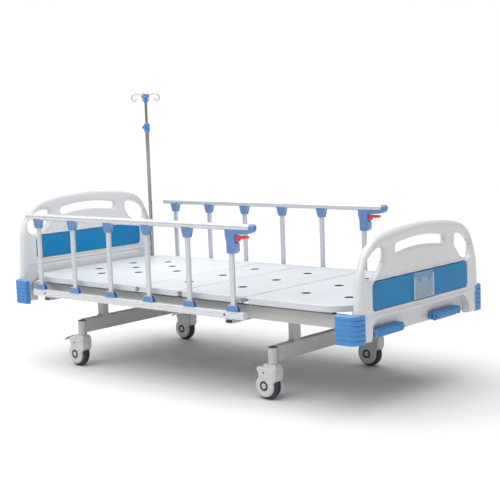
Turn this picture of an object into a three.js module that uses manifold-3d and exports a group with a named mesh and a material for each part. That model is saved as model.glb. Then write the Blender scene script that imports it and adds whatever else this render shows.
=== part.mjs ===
// Two-crank adjustable hospital bed: welded tube frame on four casters, hinged bed panels,
// moulded head and foot boards, two folding guard rails, screw lifting gear and a drip pole.
// Units are millimetres. Origin: floor centre below the bed. +X foot end, +Y far side, +Z up.
import * as THREE from 'three';
import { mergeVertices } from 'three/addons/utils/BufferGeometryUtils.js';
import Module from 'manifold-3d';

const wasm = await Module();
wasm.setup();

// ---- driving dimensions -------------------------------------------------------------------
const GAP = 0.3;                 // clearance between touching pieces

const DECK_TOP = 451;            // top of the bed panels
const DECK_HALF_WIDTH = 455;
const DECK_END = 1005;           // panels end here, at +X and -X
const DECK_CORNER = 150;         // corner radius of the end panels
const SHEET = 2.5;               // panel sheet thickness
const LIP_DEPTH = 28;
const SEAM_BACK = -196;          // back / seat seam
const SEAM_SEAT = 80;            // seat / thigh seam
const SEAM_KNEE = 465;           // thigh / leg seam
const SEAM_HALF_GAP = 3.5;
const HINGE_DROP = 4;            // hinge axis below the deck top
const VENT_RADIUS = 22;

const BEAM = { inner: 384, outer: 414, bottom: 352, top: 410, end: 1022, wall: 2.5 };
const END_BEAM = 30;             // width of the frame's end tubes along X
const CROSS_INSET = 1;           // cross tubes sit this far inside the side tubes' height
const LEG_X = { head: -688, foot: 560 };
const LEG_BEAM = { half: 20, bottom: 170, top: 237, halfLength: 370 };
const LEG_POST = { half: 20, y: 238 };
const CASTER_X = { head: -687, foot: 554.5 };
const CASTER_Y = 382;
const CASTER_TUBE = { radius: 21.5, bottom: 158, top: 230 };
const STEM = { radius: 11 };     // caster stem, turning in its tube

const WHEEL = { radius: 62, halfWidth: 16.5, axle: 6, offset: -33 };
const WHEEL_SIDES = 20;
const HOOD = { top: 157.6, half: 30, cover: 50, slot: 18.5 };

const BOARD = { inner: 1028, outer: 1073, bottom: 306 };
const HEAD_RAISE = 95;           // the headboard sits this much higher than the footboard
const INSERT = { half: 365, bottom: 429, top: 545, corner: 26, inner: 1034, outer: 1068 };
const POCKET = { half: 376, top: 395, corner: 60, wall: 1037, wallBottom: 315 };
const BUMPER = { inner: 970, outer: 1075, side: 500.5, edge: 425, bottom: 306, top: 426, corner: 38 };

const RAIL = { y: 485, z: 753.5, radius: 15.5, bore: 12.5, headEnd: -945, footEnd: 540, tip: 567 };
const POST = { first: -858, pitch: 257.6, count: 6, half: 13.5, depth: 7, bottom: 406, top: 722 };
const BAR = { bottom: 358, top: 391, half: 14, wall: 3, headEnd: -911, footEnd: 496 };
const BRACKET_X = [-830, 395];
const PIN = { radius: 3 };

const CRANK_Z = 336;
const CRANKS = [
  { name: 'back_crank', y: -158, side: -1 },
  { name: 'knee_crank', y: 97, side: 1 },
];
const SHAFT = { radius: 9, screw: 7.5 };
const ARM = { inner: 1042, outer: 1056, length: 193 };
const GRIP = { inner: 1057.3, outer: 1075, pivotX: 1066, reach: 205 };

const LEVER = { z: 392, tube: 14, journal: 8, armHalf: 8, roller: 12, drop: 56, armY: 160 };
const BACK_LEVER = { x: SEAM_BACK, reach: 300, side: -1, swing: 33.6, y: CRANKS[0].y };
const KNEE_LEVER = { x: SEAM_SEAT, reach: 250, side: 1, swing: 18.5, y: CRANKS[1].y };

const POLE = { x: -985, y: 412, lower: 10.5, upper: 7, bottom: 352, joint: 1150 };
const HOOK = { hubZ: 1346, reach: 82, wire: 2.6 };

// ---- finishes -----------------------------------------------------------------------------
const finish = (color, roughness, metalness = 0) =>
  new THREE.MeshStandardMaterial({ color, roughness, metalness });
const FRAME_PAINT = finish(0xc6c6c4, 0.45, 0.1);
const DECK_PAINT = finish(0xe8edf2, 0.4, 0.05);
const BOARD_WHITE = finish(0xeceeef, 0.3);
const INSERT_BLUE = finish(0x2388c8, 0.35);
const BUMPER_BLUE = finish(0x4a90d9, 0.45);
const FITTING_BLUE = finish(0x6fa0dc, 0.45);
const CRANK_BLUE = finish(0x2f7fc0, 0.4);
const LATCH_RED = finish(0xe03a4a, 0.4);
const RAIL_SILVER = finish(0xdcdee2, 0.35, 0.6);
const POLE_STEEL = finish(0x9a9c9a, 0.2, 1);
const ZINC = finish(0xa8a8a4, 0.4, 0.8);
const HOOD_GREY = finish(0xcfcfcc, 0.4);
const TYRE_DARK = finish(0x3b3842, 0.7);
const CLEAR_PLASTIC = finish(0xd8e4ec, 0.15);

// ---- solids -------------------------------------------------------------------------------
function solid(geometry) {
  const bare = geometry.index ? geometry.toNonIndexed() : geometry.clone();
  bare.deleteAttribute('normal');
  bare.deleteAttribute('uv');
  const merged = mergeVertices(bare, 1e-4);
  return new wasm.Manifold(new wasm.Mesh({
    numProp: 3,
    vertProperties: new Float32Array(merged.attributes.position.array),
    triVerts: new Uint32Array(merged.index.array),
  }));
}

function box(x0, x1, y0, y1, z0, z1) {
  const size = [Math.abs(x1 - x0), Math.abs(y1 - y0), Math.abs(z1 - z0)];
  const geometry = new THREE.BoxGeometry(...size);
  return solid(geometry.translate((x0 + x1) / 2, (y0 + y1) / 2, (z0 + z1) / 2));
}

// A round bar along one axis, from `from` to `to`, centred on the two other coordinates.
function rod(axis, radius, from, to, a, b, sides = 10) {
  const geometry = new THREE.CylinderGeometry(radius, radius, Math.abs(to - from), sides);
  const middle = (from + to) / 2;
  if (axis === 'x') return solid(geometry.rotateZ(Math.PI / 2).translate(middle, a, b));
  if (axis === 'y') return solid(geometry.translate(a, middle, b));
  return solid(geometry.rotateX(Math.PI / 2).translate(a, b, middle));
}

// A hole that a round bar of `radius` turns in: its flats stay a gap outside the bar.
function bore(axis, radius, from, to, a, b, sides = 10) {
  return rod(axis, (radius + GAP) / Math.cos(Math.PI / sides), from, to, a, b, sides);
}

const joined = (solids) => solids.reduce((sum, next) => sum.add(next));
const less = (body, cuts) => cuts.reduce((rest, cut) => rest.subtract(cut), body);

// Outlines: a shape drawn in the plane across one axis, pushed from `from` to `to` along it.
function slabX(shape, from, to, curveSegments = 2) {
  const geometry = new THREE.ExtrudeGeometry(shape, {
    depth: to - from, bevelEnabled: false, curveSegments,
  });
  return solid(geometry.rotateX(Math.PI / 2).rotateZ(Math.PI / 2).translate(from, 0, 0));
}

function slabY(shape, from, to, curveSegments = 3) {
  const geometry = new THREE.ExtrudeGeometry(shape, {
    depth: to - from, bevelEnabled: false, curveSegments,
  });
  return solid(geometry.rotateX(Math.PI / 2).translate(0, to, 0));
}

function slabZ(shape, from, to, curveSegments = 4) {
  const geometry = new THREE.ExtrudeGeometry(shape, {
    depth: to - from, bevelEnabled: false, curveSegments,
  });
  return solid(geometry.translate(0, 0, from));
}

function polygon(points) {
  return new THREE.Shape(points.map(([x, y]) => new THREE.Vector2(x, y)));
}

// A rectangle with a chosen radius at each corner: low-low, high-low, high-high, low-high.
function roundedRectangle(x0, x1, y0, y1, radii) {
  const [a, b, c, d] = radii;
  const shape = new THREE.Shape();
  shape.moveTo(x0 + a, y0);
  shape.lineTo(x1 - b, y0);
  if (b) shape.absarc(x1 - b, y0 + b, b, -Math.PI / 2, 0);
  shape.lineTo(x1, y1 - c);
  if (c) shape.absarc(x1 - c, y1 - c, c, 0, Math.PI / 2);
  shape.lineTo(x0 + d, y1);
  if (d) shape.absarc(x0 + d, y1 - d, d, Math.PI / 2, Math.PI);
  shape.lineTo(x0, y0 + a);
  if (a) shape.absarc(x0 + a, y0 + a, a, Math.PI, 1.5 * Math.PI);
  return shape;
}

const bed = new THREE.Group();

function place(name, body, material) {
  const mesh = body.getMesh();
  const geometry = new THREE.BufferGeometry();
  geometry.setAttribute('position', new THREE.BufferAttribute(mesh.vertProperties, 3));
  geometry.setIndex(new THREE.BufferAttribute(mesh.triVerts, 1));
  geometry.computeVertexNormals();
  const node = new THREE.Mesh(geometry, material);
  node.name = name;
  bed.add(node);
}

const mirrorY = (body) => body.mirror([0, 1, 0]);
const mirrorX = (body) => body.mirror([1, 0, 0]);

// ---- welded bed frame ---------------------------------------------------------------------
function bedFrame() {
  const { inner, outer, bottom, top, end, wall } = BEAM;
  const low = bottom + CROSS_INSET;
  const high = top - CROSS_INSET;
  const cross = [
    [1 - end, END_BEAM - end, low], [end - END_BEAM, end - 1, low],
    [LEG_X.head - 20, LEG_X.head + 20, low], [LEG_X.foot - 20, LEG_X.foot + 20, low],
    [SEAM_BACK + 36, SEAM_BACK + 66, 380], [SEAM_SEAT - 54, SEAM_SEAT - 24, 380],
  ];
  const tubes = [];
  const hollows = [];
  for (const side of [-1, 1]) {
    tubes.push(box(-end, end, side * inner, side * outer, bottom, top));
    hollows.push(box(-end - 1, end + 1, side * (inner + wall), side * (outer - wall),
      bottom + wall, top - wall));
  }
  for (const [x0, x1, z0] of cross) {
    tubes.push(box(x0, x1, -inner - 1.2, inner + 1.2, z0, high));
    hollows.push(box(x0 + wall, x1 - wall, -inner - 4, inner + 4, z0 + wall, high - wall));
  }
  const extras = [
    rod('z', 15.5, 344, 418, POLE.x, POLE.y),
    ...boardHooks(),
    ...CRANKS.map((crank) => box(994, 1000, crank.y - 18, crank.y + 18, 320, 353)),
    ...CRANKS.map((crank) => box(572, 578, crank.y - 18, crank.y + 18, 320, 353)),
  ];
  const bores = [
    bore('z', POLE.lower, 350, 420, POLE.x, POLE.y),
    ...CRANKS.map((crank) => bore('x', SHAFT.radius, 560, 1010, crank.y, CRANK_Z)),
    ...[BACK_LEVER, KNEE_LEVER].map((lever) =>
      bore('y', LEVER.journal, -outer + 8, outer - 8, lever.x, LEVER.z)),
  ];
  return less(joined([less(joined(tubes), hollows), ...extras]), bores);
}

// Short plates on the frame's ends that the boards are screwed to.
function boardHooks() {
  const plates = [];
  for (const end of [-1, 1]) {
    for (const side of [-1, 1]) {
      plates.push(box(end * (BEAM.end - 1), end * (BOARD.inner - GAP), side * 330, side * 380, 358, 404));
    }
  }
  return plates;
}

// One end's leg frame: a cross beam, two posts up to the bed frame, a socket at each end.
function legFrame(legX, casterX) {
  const { half, bottom, top, halfLength } = LEG_BEAM;
  const wall = BEAM.wall;
  const beam = box(legX - half, legX + half, -halfLength, halfLength, bottom, top);
  const hollows = [box(legX - half + wall, legX + half - wall, -halfLength - 4, halfLength + 4,
    bottom + wall, top - wall)];
  const posts = [];
  const sockets = [];
  const stemHoles = [];
  for (const side of [-1, 1]) {
    const y = side * LEG_POST.y;
    const casterY = side * CASTER_Y;
    posts.push(box(legX - half, legX + half, y - half, y + half, top - 1, BEAM.bottom - GAP));
    hollows.push(box(legX - half + wall, legX + half - wall, y - half + wall, y + half - wall,
      top - 5, BEAM.bottom - wall - GAP));
    sockets.push(rod('z', CASTER_TUBE.radius, CASTER_TUBE.bottom, CASTER_TUBE.top, casterX, casterY));
    stemHoles.push(bore('z', STEM.radius, CASTER_TUBE.bottom - 1, CASTER_TUBE.top - 4,
      casterX, casterY));
  }
  const shell = less(joined([beam, ...posts]), hollows);
  return less(joined([shell, ...sockets]), stemHoles);
}

// ---- bed panels ---------------------------------------------------------------------------
const ventHole = ([x, y]) => rod('z', VENT_RADIUS, DECK_TOP - 20, DECK_TOP + 5, x, y, 8);

// A pressed sheet panel with a turned-down lip. `x0` and `x1` are its sheet's ends; a rounded
// end is a deck end, a square end is a seam where the lip is set back by `setBack`. Each rib is
// a shallow channel below the sheet, given as [y, low x, high x].
function deckPanel({ x0, x1, rounded, setBack, ribs, vents, ribBottom }) {
  const half = DECK_HALF_WIDTH;
  const corner = (end) => (rounded === end ? DECK_CORNER : 0);
  const radii = [corner(-1), corner(1), corner(1), corner(-1)];
  const inside = radii.map((radius) => Math.max(0, radius - SHEET));
  const sheet = slabZ(roundedRectangle(x0, x1, -half, half, radii), DECK_TOP - SHEET, DECK_TOP);
  const lipX0 = rounded === -1 ? x0 : x0 + setBack[0];
  const lipX1 = rounded === 1 ? x1 : x1 - setBack[1];
  const bottom = DECK_TOP - LIP_DEPTH;
  const outside = slabZ(roundedRectangle(lipX0, lipX1, -half, half, radii), bottom, DECK_TOP - 1);
  const hollow = slabZ(
    roundedRectangle(lipX0 + SHEET, lipX1 - SHEET, -half + SHEET, half - SHEET, inside),
    bottom - 1, DECK_TOP - SHEET + 0.5);
  const bars = ribs.map(([y, low, high]) =>
    box(low, high, y - 15, y + 15, ribBottom, DECK_TOP - SHEET + 1));
  return less(joined([sheet, outside.subtract(hollow), ...bars]), vents.map(ventHole));
}

// Hinge knuckles along a seam: short round barrels with a web up to the sheet on one side.
function knuckles(seam, side, centres, halfLength) {
  const z = DECK_TOP - HINGE_DROP;
  return centres.map((y) => rod('y', 3.6, y - halfLength, y + halfLength, seam, z, 6)
    .add(box(seam, seam + side * 16, y - halfLength, y + halfLength, z - 3, z + 2)));
}

const KNUCKLE = { rows: [-300, 300], half: 14, outer: 29 };
const innerKnuckles = (seam, side) => knuckles(seam, side, KNUCKLE.rows, KNUCKLE.half);
const outerKnuckles = (seam, side) => knuckles(seam, side,
  KNUCKLE.rows.flatMap((y) => [y - KNUCKLE.outer, y + KNUCKLE.outer]), KNUCKLE.half);

// A pocket in the sheet's edge so that the neighbour's barrel has room to turn.
function knucklePockets(seam, side, centres, halfLength) {
  return centres.map((y) => box(seam, seam + side * 5, y - halfLength - 1, y + halfLength + 1,
    DECK_TOP - 12, DECK_TOP + 1));
}

const innerPockets = (seam, side) => knucklePockets(seam, side, KNUCKLE.rows, KNUCKLE.half);
const outerPockets = (seam, side) => knucklePockets(seam, side,
  KNUCKLE.rows.flatMap((y) => [y - KNUCKLE.outer, y + KNUCKLE.outer]), KNUCKLE.half);

const RIB_BOTTOM = LEVER.z + 15 + LEVER.roller + GAP;   // the rollers run under the ribs
const VENT_Y = 237;
const BACK_VENTS = [[-835, -122], [-835, 122], [-686, -VENT_Y], [-686, 0], [-686, VENT_Y],
  [-538, -122], [-538, 122], [-387, 0]];

const armRows = (low, high) => [-LEVER.armY, LEVER.armY].map((y) => [y, low, high]);

function backPanel() {
  const panel = deckPanel({
    x0: -DECK_END, x1: SEAM_BACK - SEAM_HALF_GAP, rounded: -1, setBack: [0, 9],
    ribs: armRows(-530, -425), vents: BACK_VENTS, ribBottom: RIB_BOTTOM,
  });
  const armNotches = armRows(SEAM_BACK - 30, SEAM_BACK - 5).map(([y, low, high]) =>
    box(low, high, y - 10, y + 10, DECK_TOP - LIP_DEPTH - 1, DECK_TOP - SHEET - 0.5));
  return less(joined([panel, ...innerKnuckles(SEAM_BACK, -1)]),
    [...outerPockets(SEAM_BACK, -1), ...armNotches]);
}

function seatPanel() {
  const panel = deckPanel({
    x0: SEAM_BACK + SEAM_HALF_GAP, x1: SEAM_SEAT - SEAM_HALF_GAP, rounded: 0, setBack: [9, 9],
    ribs: [[-320, -165, 50], [320, -165, 50]], vents: [[-70, -VENT_Y], [-70, 0], [-70, VENT_Y]],
    ribBottom: BEAM.top - CROSS_INSET + GAP,
  });
  const body = joined([panel, ...outerKnuckles(SEAM_BACK, 1), ...outerKnuckles(SEAM_SEAT, -1)]);
  return less(body, [...innerPockets(SEAM_BACK, 1), ...innerPockets(SEAM_SEAT, -1)]);
}

function thighPanel() {
  const panel = deckPanel({
    x0: SEAM_SEAT + SEAM_HALF_GAP, x1: SEAM_KNEE - SEAM_HALF_GAP, rounded: 0, setBack: [9, 17],
    ribs: armRows(270, 370), vents: [[267, -VENT_Y], [267, 0], [267, VENT_Y]],
    ribBottom: RIB_BOTTOM,
  });
  const body = joined([panel, ...innerKnuckles(SEAM_SEAT, 1), ...outerKnuckles(SEAM_KNEE, -1)]);
  return less(body, [...outerPockets(SEAM_SEAT, 1), ...innerPockets(SEAM_KNEE, -1)]);
}

function legPanel() {
  const rows = [630, 860];
  const panel = deckPanel({
    x0: SEAM_KNEE + SEAM_HALF_GAP, x1: DECK_END, rounded: 1, setBack: [17, 0],
    ribs: armRows(500, 985),
    vents: rows.flatMap((x) => [[x, -VENT_Y], [x, 0], [x, VENT_Y]]),
    ribBottom: DECK_TOP - LIP_DEPTH,
  });
  return less(joined([panel, ...innerKnuckles(SEAM_KNEE, 1)]), outerPockets(SEAM_KNEE, 1));
}

// ---- head and foot boards -----------------------------------------------------------------
// Outline across the bed: straight leaning sides, then one smooth arch over the top.
const BOARD_ARCH = [[455, 530], [447, 570], [425, 622], [400, 668], [353, 705], [320, 719],
  [240, 735], [150, 744], [0, 751]];

function boardOutline() {
  const right = BOARD_ARCH.map(([y, z]) => new THREE.Vector2(y, z));
  const left = right.slice(0, -1).reverse().map((point) => new THREE.Vector2(-point.x, point.y));
  const shape = new THREE.Shape();
  shape.moveTo(-471, BOARD.bottom);
  shape.lineTo(471, BOARD.bottom);
  shape.lineTo(right[0].x, right[0].y);
  shape.splineThru([...right.slice(1), ...left]);
  shape.closePath();
  return shape;
}

// Hand slot below the top bar: it bends with the arch and has round ends.
function handSlot() {
  const shape = new THREE.Shape();
  const reach = 172;
  const sag = 20;
  shape.moveTo(-reach, 650 - sag / 2);
  shape.quadraticCurveTo(0, 650 + sag, reach, 650 - sag / 2);
  shape.absarc(reach, 665 - sag / 4, 20, -Math.PI / 2, Math.PI / 2);
  shape.quadraticCurveTo(0, 698 + sag / 2, -reach, 680);
  shape.absarc(-reach, 665 - sag / 4, 20, Math.PI / 2, 1.5 * Math.PI);
  return shape;
}

// Corner hand holes: a drop shape that leans with the board's side.
function cornerHole(side) {
  const shape = new THREE.Shape();
  shape.moveTo(side * 270, 664);
  shape.bezierCurveTo(side * 275, 676, side * 300, 676, side * 330, 668);
  shape.bezierCurveTo(side * 385, 655, side * 412, 622, side * 414, 592);
  shape.bezierCurveTo(side * 414, 560, side * 385, 550, side * 345, 562);
  shape.bezierCurveTo(side * 300, 578, side * 262, 630, side * 270, 664);
  return shape;
}

// Built at the foot end; the headboard is the same moulding raised, on longer legs.
function board(raise, shaftHoles) {
  const moulding = slabX(boardOutline(), BOARD.inner, BOARD.outer, 2);
  const cuts = [
    slabX(handSlot(), BOARD.inner - 5, BOARD.outer + 5, 3),
    slabX(cornerHole(1), BOARD.inner - 5, BOARD.outer + 5, 3),
    slabX(cornerHole(-1), BOARD.inner - 5, BOARD.outer + 5, 3),
    slabX(roundedRectangle(-INSERT.half - GAP, INSERT.half + GAP, INSERT.bottom - GAP,
      INSERT.top + GAP, [18, 18, INSERT.corner, INSERT.corner]), BOARD.inner - 5, BOARD.outer + 5),
    slabX(roundedRectangle(-POCKET.half, POCKET.half, 200, POCKET.top,
      [0, 0, POCKET.corner, POCKET.corner]), POCKET.wall, BOARD.outer + 5),
    box(BOARD.inner - 5, BOARD.outer + 5, -POCKET.half, POCKET.half, 200, POCKET.wallBottom),
  ];
  const body = less(moulding, cuts).translate([0, 0, raise]);
  const legs = [-1, 1].map((side) => box(BOARD.inner + 3, BOARD.outer - 7,
    side * 384, side * 464, BOARD.bottom, BOARD.bottom + raise + 20));
  const seats = [-1, 1].map((side) => bumperSeat(side));
  return less(joined([body, ...legs]), [...seats, ...shaftHoles]);
}

// The board's leg is thinned where a corner bumper wraps it.
function bumperSeat(side) {
  const { bottom, top, edge } = BUMPER;
  const face = box(BOARD.outer - 7, BOARD.outer + 9, side * (edge - GAP), side * 520,
    bottom - 5, top + GAP);
  const flank = box(BOARD.inner - 9, BOARD.outer + 9, side * 464, side * 520,
    bottom - 5, top + GAP);
  return face.add(flank);
}

function insert() {
  const shape = roundedRectangle(-INSERT.half, INSERT.half, INSERT.bottom, INSERT.top,
    [18, 18, INSERT.corner, INSERT.corner]);
  return slabX(shape, INSERT.inner, INSERT.outer);
}

function bumper(side) {
  const { inner, outer, side: flank, edge, bottom, top, corner } = BUMPER;
  const shape = new THREE.Shape();
  const legFace = BOARD.outer - 7 + GAP;
  shape.moveTo(inner, 474);
  shape.lineTo(inner, flank - 10);
  shape.absarc(inner + 10, flank - 10, 10, Math.PI, Math.PI / 2, true);
  shape.lineTo(outer - corner, flank);
  shape.absarc(outer - corner, flank - corner, corner, Math.PI / 2, 0, true);
  shape.lineTo(outer, edge);
  shape.lineTo(legFace, edge);
  shape.lineTo(legFace, 464 + GAP);
  shape.lineTo(BOARD.inner - 6, 464 + GAP);
  shape.lineTo(BOARD.inner - 6, 474);
  const body = slabZ(shape, bottom, top);
  return side > 0 ? body : mirrorY(body);
}

function cardHolder() {
  const { outer } = INSERT;
  const back = box(outer + GAP, outer + 2, -70, 80, 432, 542);
  const pocket = box(outer + 1.5, outer + 6.5, -70, 80, 432, 520);
  return pocket.add(back).subtract(box(outer + 2.5, outer + 5, -66, 76, 436, 560));
}

// ---- guard rails (built for the far side, mirrored for the near side) -----------------------
const postX = (index) => POST.first + index * POST.pitch;

// A clevis leaves a slot for the post: closed on one X side, open on the other.
function clevisSlot(x, openSide, z0, z1) {
  const wall = x - openSide * (POST.half + 0.7);
  return box(wall, x + openSide * 60, RAIL.y - POST.depth - 0.7, RAIL.y + POST.depth + 0.7, z0, z1);
}

const pinHole = (x, z) => bore('y', PIN.radius, RAIL.y - 20, RAIL.y + 20, x, z, 6);

function topCap(x) {
  const shape = polygon([[-28, 747], [28, 747], [28, 738], [21, 711], [15.5, 697],
    [-15.5, 697], [-21, 711], [-28, 738]]);
  return slabY(shape, RAIL.y - 13, RAIL.y + 13).translate([x, 0, 0]);
}

function boot(x) {
  const shape = polygon([[-34, 388], [34, 388], [25, 418], [-25, 418]]);
  return slabY(shape, RAIL.y - 13, RAIL.y + 13).translate([x, 0, 0]);
}

function topRail() {
  const tube = rod('x', RAIL.radius, RAIL.headEnd, RAIL.footEnd, RAIL.y, RAIL.z, 12);
  const bore = rod('x', RAIL.bore, RAIL.headEnd - 1, RAIL.footEnd + 1, RAIL.y, RAIL.z, 8);
  const caps = [];
  const cuts = [bore];
  for (let index = 0; index < POST.count - 1; index += 1) {
    caps.push(topCap(postX(index)));
    cuts.push(clevisSlot(postX(index), -1, 680, POST.top + POST.half + 0.7));
    cuts.push(pinHole(postX(index), POST.top));
  }
  return less(joined([tube, ...caps]), cuts);
}

function lowerRail() {
  const { bottom, top, half, wall, headEnd, footEnd } = BAR;
  const bar = box(headEnd, footEnd, RAIL.y - half, RAIL.y + half, bottom, top);
  const hollow = box(headEnd - 1, footEnd + 1, RAIL.y - half + wall, RAIL.y + half - wall,
    bottom + wall, top - wall);
  const parts = [bar.subtract(hollow)];
  const cuts = [];
  for (let index = 0; index < POST.count; index += 1) {
    parts.push(boot(postX(index)));
    cuts.push(clevisSlot(postX(index), 1, POST.bottom - POST.half - 0.7, 440));
    cuts.push(pinHole(postX(index), POST.bottom));
  }
  for (const x of BRACKET_X) {
    parts.push(box(x - 20, x + 20, 350, 480, 335, BEAM.bottom - GAP));
    parts.push(box(x - 20, x + 20, 440, 480, 350, bottom + 1));
  }
  return less(joined(parts), cuts);
}

function post(x) {
  const length = POST.top - POST.bottom;
  const shape = new THREE.Shape();
  shape.absarc(x, POST.bottom, POST.half, Math.PI, 2 * Math.PI);
  shape.absarc(x, POST.bottom + length, POST.half, 0, Math.PI);
  shape.closePath();
  const bar = slabY(shape, RAIL.y - POST.depth, RAIL.y + POST.depth, 2);
  const pins = [POST.bottom, POST.top].map((z) =>
    rod('y', PIN.radius, RAIL.y - 12.5, RAIL.y + 12.5, x, z, 6));
  return joined([bar, ...pins]);
}

function latchHousing() {
  const x = postX(POST.count - 1);
  const shape = new THREE.Shape();
  shape.moveTo(x - 27, 745);
  shape.lineTo(x - 25, 716);
  shape.lineTo(x - 18, 690);
  shape.lineTo(x - 18, 640);
  shape.lineTo(x + 20, 638);
  shape.lineTo(x + 38, 650);
  shape.lineTo(x + 38, 684);
  shape.lineTo(x + 31, 690);
  shape.lineTo(x + 31, 721);
  shape.lineTo(RAIL.footEnd - 12, 727);
  shape.quadraticCurveTo(RAIL.tip - 6, 734, RAIL.tip - 3, 745);
  shape.lineTo(RAIL.footEnd + 4, 747);
  const sleeve = slabY(shape, RAIL.y - 15.5, RAIL.y + 15.5);
  const endCap = rod('x', RAIL.radius, RAIL.footEnd - 6, RAIL.tip - 6, RAIL.y, RAIL.z, 12)
    .add(rod('x', 12, RAIL.tip - 7, RAIL.tip, RAIL.y, RAIL.z, 8));
  const cuts = [
    bore('x', RAIL.radius, 300, RAIL.footEnd + GAP, RAIL.y, RAIL.z, 12),
    clevisSlot(x, -1, 630, POST.top + POST.half + 0.7),
    pinHole(x, POST.top),
    box(x + 31.5, x + 60, RAIL.y - 9.5, RAIL.y + 9.5, 680, 692),
  ];
  return less(joined([sleeve, endCap]), cuts);
}

// The red release lever: its tip is squeezed up towards the rail.
function latchLever() {
  const x = postX(POST.count - 1);
  const shape = polygon([[x + 31.5, 718], [x + 34, 719], [x + 95, 718], [x + 97, 712], [x + 92, 706],
    [x + 50, 705], [x + 48, 693], [x + 33, 693]]);
  return slabY(shape, RAIL.y - 9, RAIL.y + 9);
}

// ---- casters ------------------------------------------------------------------------------
// Built about the stem at X = Y = 0.
function casterHood() {
  const { top, half, cover, slot } = HOOD;
  const wheelX = WHEEL.offset;
  const wheelZ = WHEEL.radius;
  const shape = new THREE.Shape();
  shape.moveTo(26, top);
  shape.quadraticCurveTo(33, top, 33, top - 8);
  shape.lineTo(32, 100);
  shape.quadraticCurveTo(30, 84, wheelX + cover * Math.cos(0.25), wheelZ + cover * Math.sin(0.25));
  shape.absarc(wheelX, wheelZ, cover, 0.25, -1.25 * Math.PI, true);
  shape.quadraticCurveTo(-66, 116, -78, 134);
  shape.lineTo(-60, 150);
  shape.lineTo(-44, top);
  const body = slabY(shape, -half, half, 3);
  const stem = rod('z', STEM.radius, top - 2, CASTER_TUBE.top - 8, 0, 0);
  const axle = rod('y', WHEEL.axle, -slot - 2, slot + 2, wheelX, wheelZ, 10);
  const cuts = [
    rod('y', WHEEL.radius + 4, -slot, slot, wheelX, wheelZ, 14),
    box(-90, -41, -14.5, 14.5, 118, 170),
  ];
  return joined([less(body, cuts), stem, axle]);
}

function casterWheel() {
  const { radius, halfWidth, offset } = WHEEL;
  const bore = (WHEEL.axle + GAP) / Math.cos(Math.PI / WHEEL_SIDES);
  const profile = [
    [bore, -halfWidth], [radius - 6, -halfWidth], [radius, -halfWidth + 9],
    [radius, halfWidth - 9], [radius - 6, halfWidth], [bore, halfWidth], [bore, -halfWidth],
  ].map(([r, y]) => new THREE.Vector2(r, y));
  return solid(new THREE.LatheGeometry(profile, WHEEL_SIDES)).translate([offset, 0, radius]);
}

function casterPedal() {
  const shape = polygon([[-45, 154], [-45, 149], [-58, 149], [-104, 134], [-126, 122], [-130, 124],
    [-108, 138], [-60, 154]]);
  return slabY(shape, -13, 13);
}

// ---- lifting gear ---------------------------------------------------------------------------
// Crank: shaft and screw in one piece, with the flat arm on its outer end.
function crankShaft({ y, side }) {
  const shaft = rod('x', SHAFT.radius, 460, ARM.inner + 2, y, CRANK_Z, 8);
  const screw = rod('x', SHAFT.screw, 190, 461, y, CRANK_Z, 8);
  const y0 = Math.min(0, side) * ARM.length + y;
  const armShape = roundedRectangle(y0 - 18, y0 + ARM.length + 18, 320, 352, [16, 16, 16, 16]);
  const arm = slabX(armShape, ARM.inner, ARM.outer);
  const tip = y + side * ARM.length;
  const ears = [[320, 327], [345, 352]].map(([z0, z1]) =>
    rod('z', 9, z0, z1, GRIP.pivotX, tip, 8).add(
      box(ARM.outer - 2, GRIP.pivotX, tip - 9, tip + 9, z0, z1)));
  const hole = bore('z', PIN.radius, 315, 360, GRIP.pivotX, tip, 8);
  return less(joined([shaft, screw, arm, ...ears]), [hole]);
}

function crankGrip({ y, side }) {
  const tip = y + side * ARM.length;
  const root = tip - side * 12;
  const end = tip - side * GRIP.reach;
  const low = Math.min(root, end);
  const high = Math.max(root, end);
  const shape = roundedRectangle(low, high, 316, 354, [9, 9, 9, 9]);
  const bar = slabX(shape, GRIP.inner, GRIP.outer);
  const tongue = rod('z', 8.6, 327.3, 344.7, GRIP.pivotX, tip, 8).add(
    box(GRIP.inner + 0.5, GRIP.pivotX + 8, tip, root - side * 3, 327.3, 344.7));
  const pin = rod('z', PIN.radius, 321, 351, GRIP.pivotX, tip, 8);
  return joined([bar, tongue, pin]);
}

// Lift lever: a cross tube turning in the side beams, two roller arms and a slotted drive fork.
function liftLever({ x, reach, side, swing, y }) {
  const tube = rod('y', LEVER.tube, -BEAM.inner + 1, BEAM.inner - 1, x, LEVER.z, 8);
  const journals = rod('y', LEVER.journal, -BEAM.outer + 10, BEAM.outer - 10, x, LEVER.z, 8);
  const rise = 15;
  const run = Math.sqrt(reach * reach - rise * rise);
  const arms = [-1, 1].map((hand) => liftArm(x, side, run, rise, hand * LEVER.armY));
  return joined([tube, journals, ...arms, driveFork(x, side, swing, y)]);
}

function liftArm(x, side, run, rise, y) {
  const half = LEVER.armHalf;
  const shape = polygon([[0, LEVER.z - half], [side * run, LEVER.z + rise - half],
    [side * run, LEVER.z + rise + half], [0, LEVER.z + half]]);
  const arm = slabY(shape, y - 6, y + 6).translate([x, 0, 0]);
  return arm.add(rod('y', LEVER.roller, y - 13, y + 13, x + side * run, LEVER.z + rise, 10));
}

function driveFork(x, side, swing, y) {
  const slotHalf = 8.5;
  const slotEnd = LEVER.drop / Math.cos(THREE.MathUtils.degToRad(swing));
  const plate = roundedRectangle(-16, 16, -slotEnd - 16, -8, [15, 15, 0, 0]);
  const slot = roundedRectangle(-slotHalf, slotHalf, -slotEnd - slotHalf, -LEVER.drop + slotHalf,
    [8, 8, 8, 8]);
  const cheeks = [-1, 1].map((hand) => slabY(plate, hand * 9 - 2, hand * 9 + 2, 1));
  const fork = less(joined(cheeks), [slabY(slot, -20, 20, 1)]);
  return fork.rotate([0, side * swing, 0]).translate([x, y, LEVER.z]);
}

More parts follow.
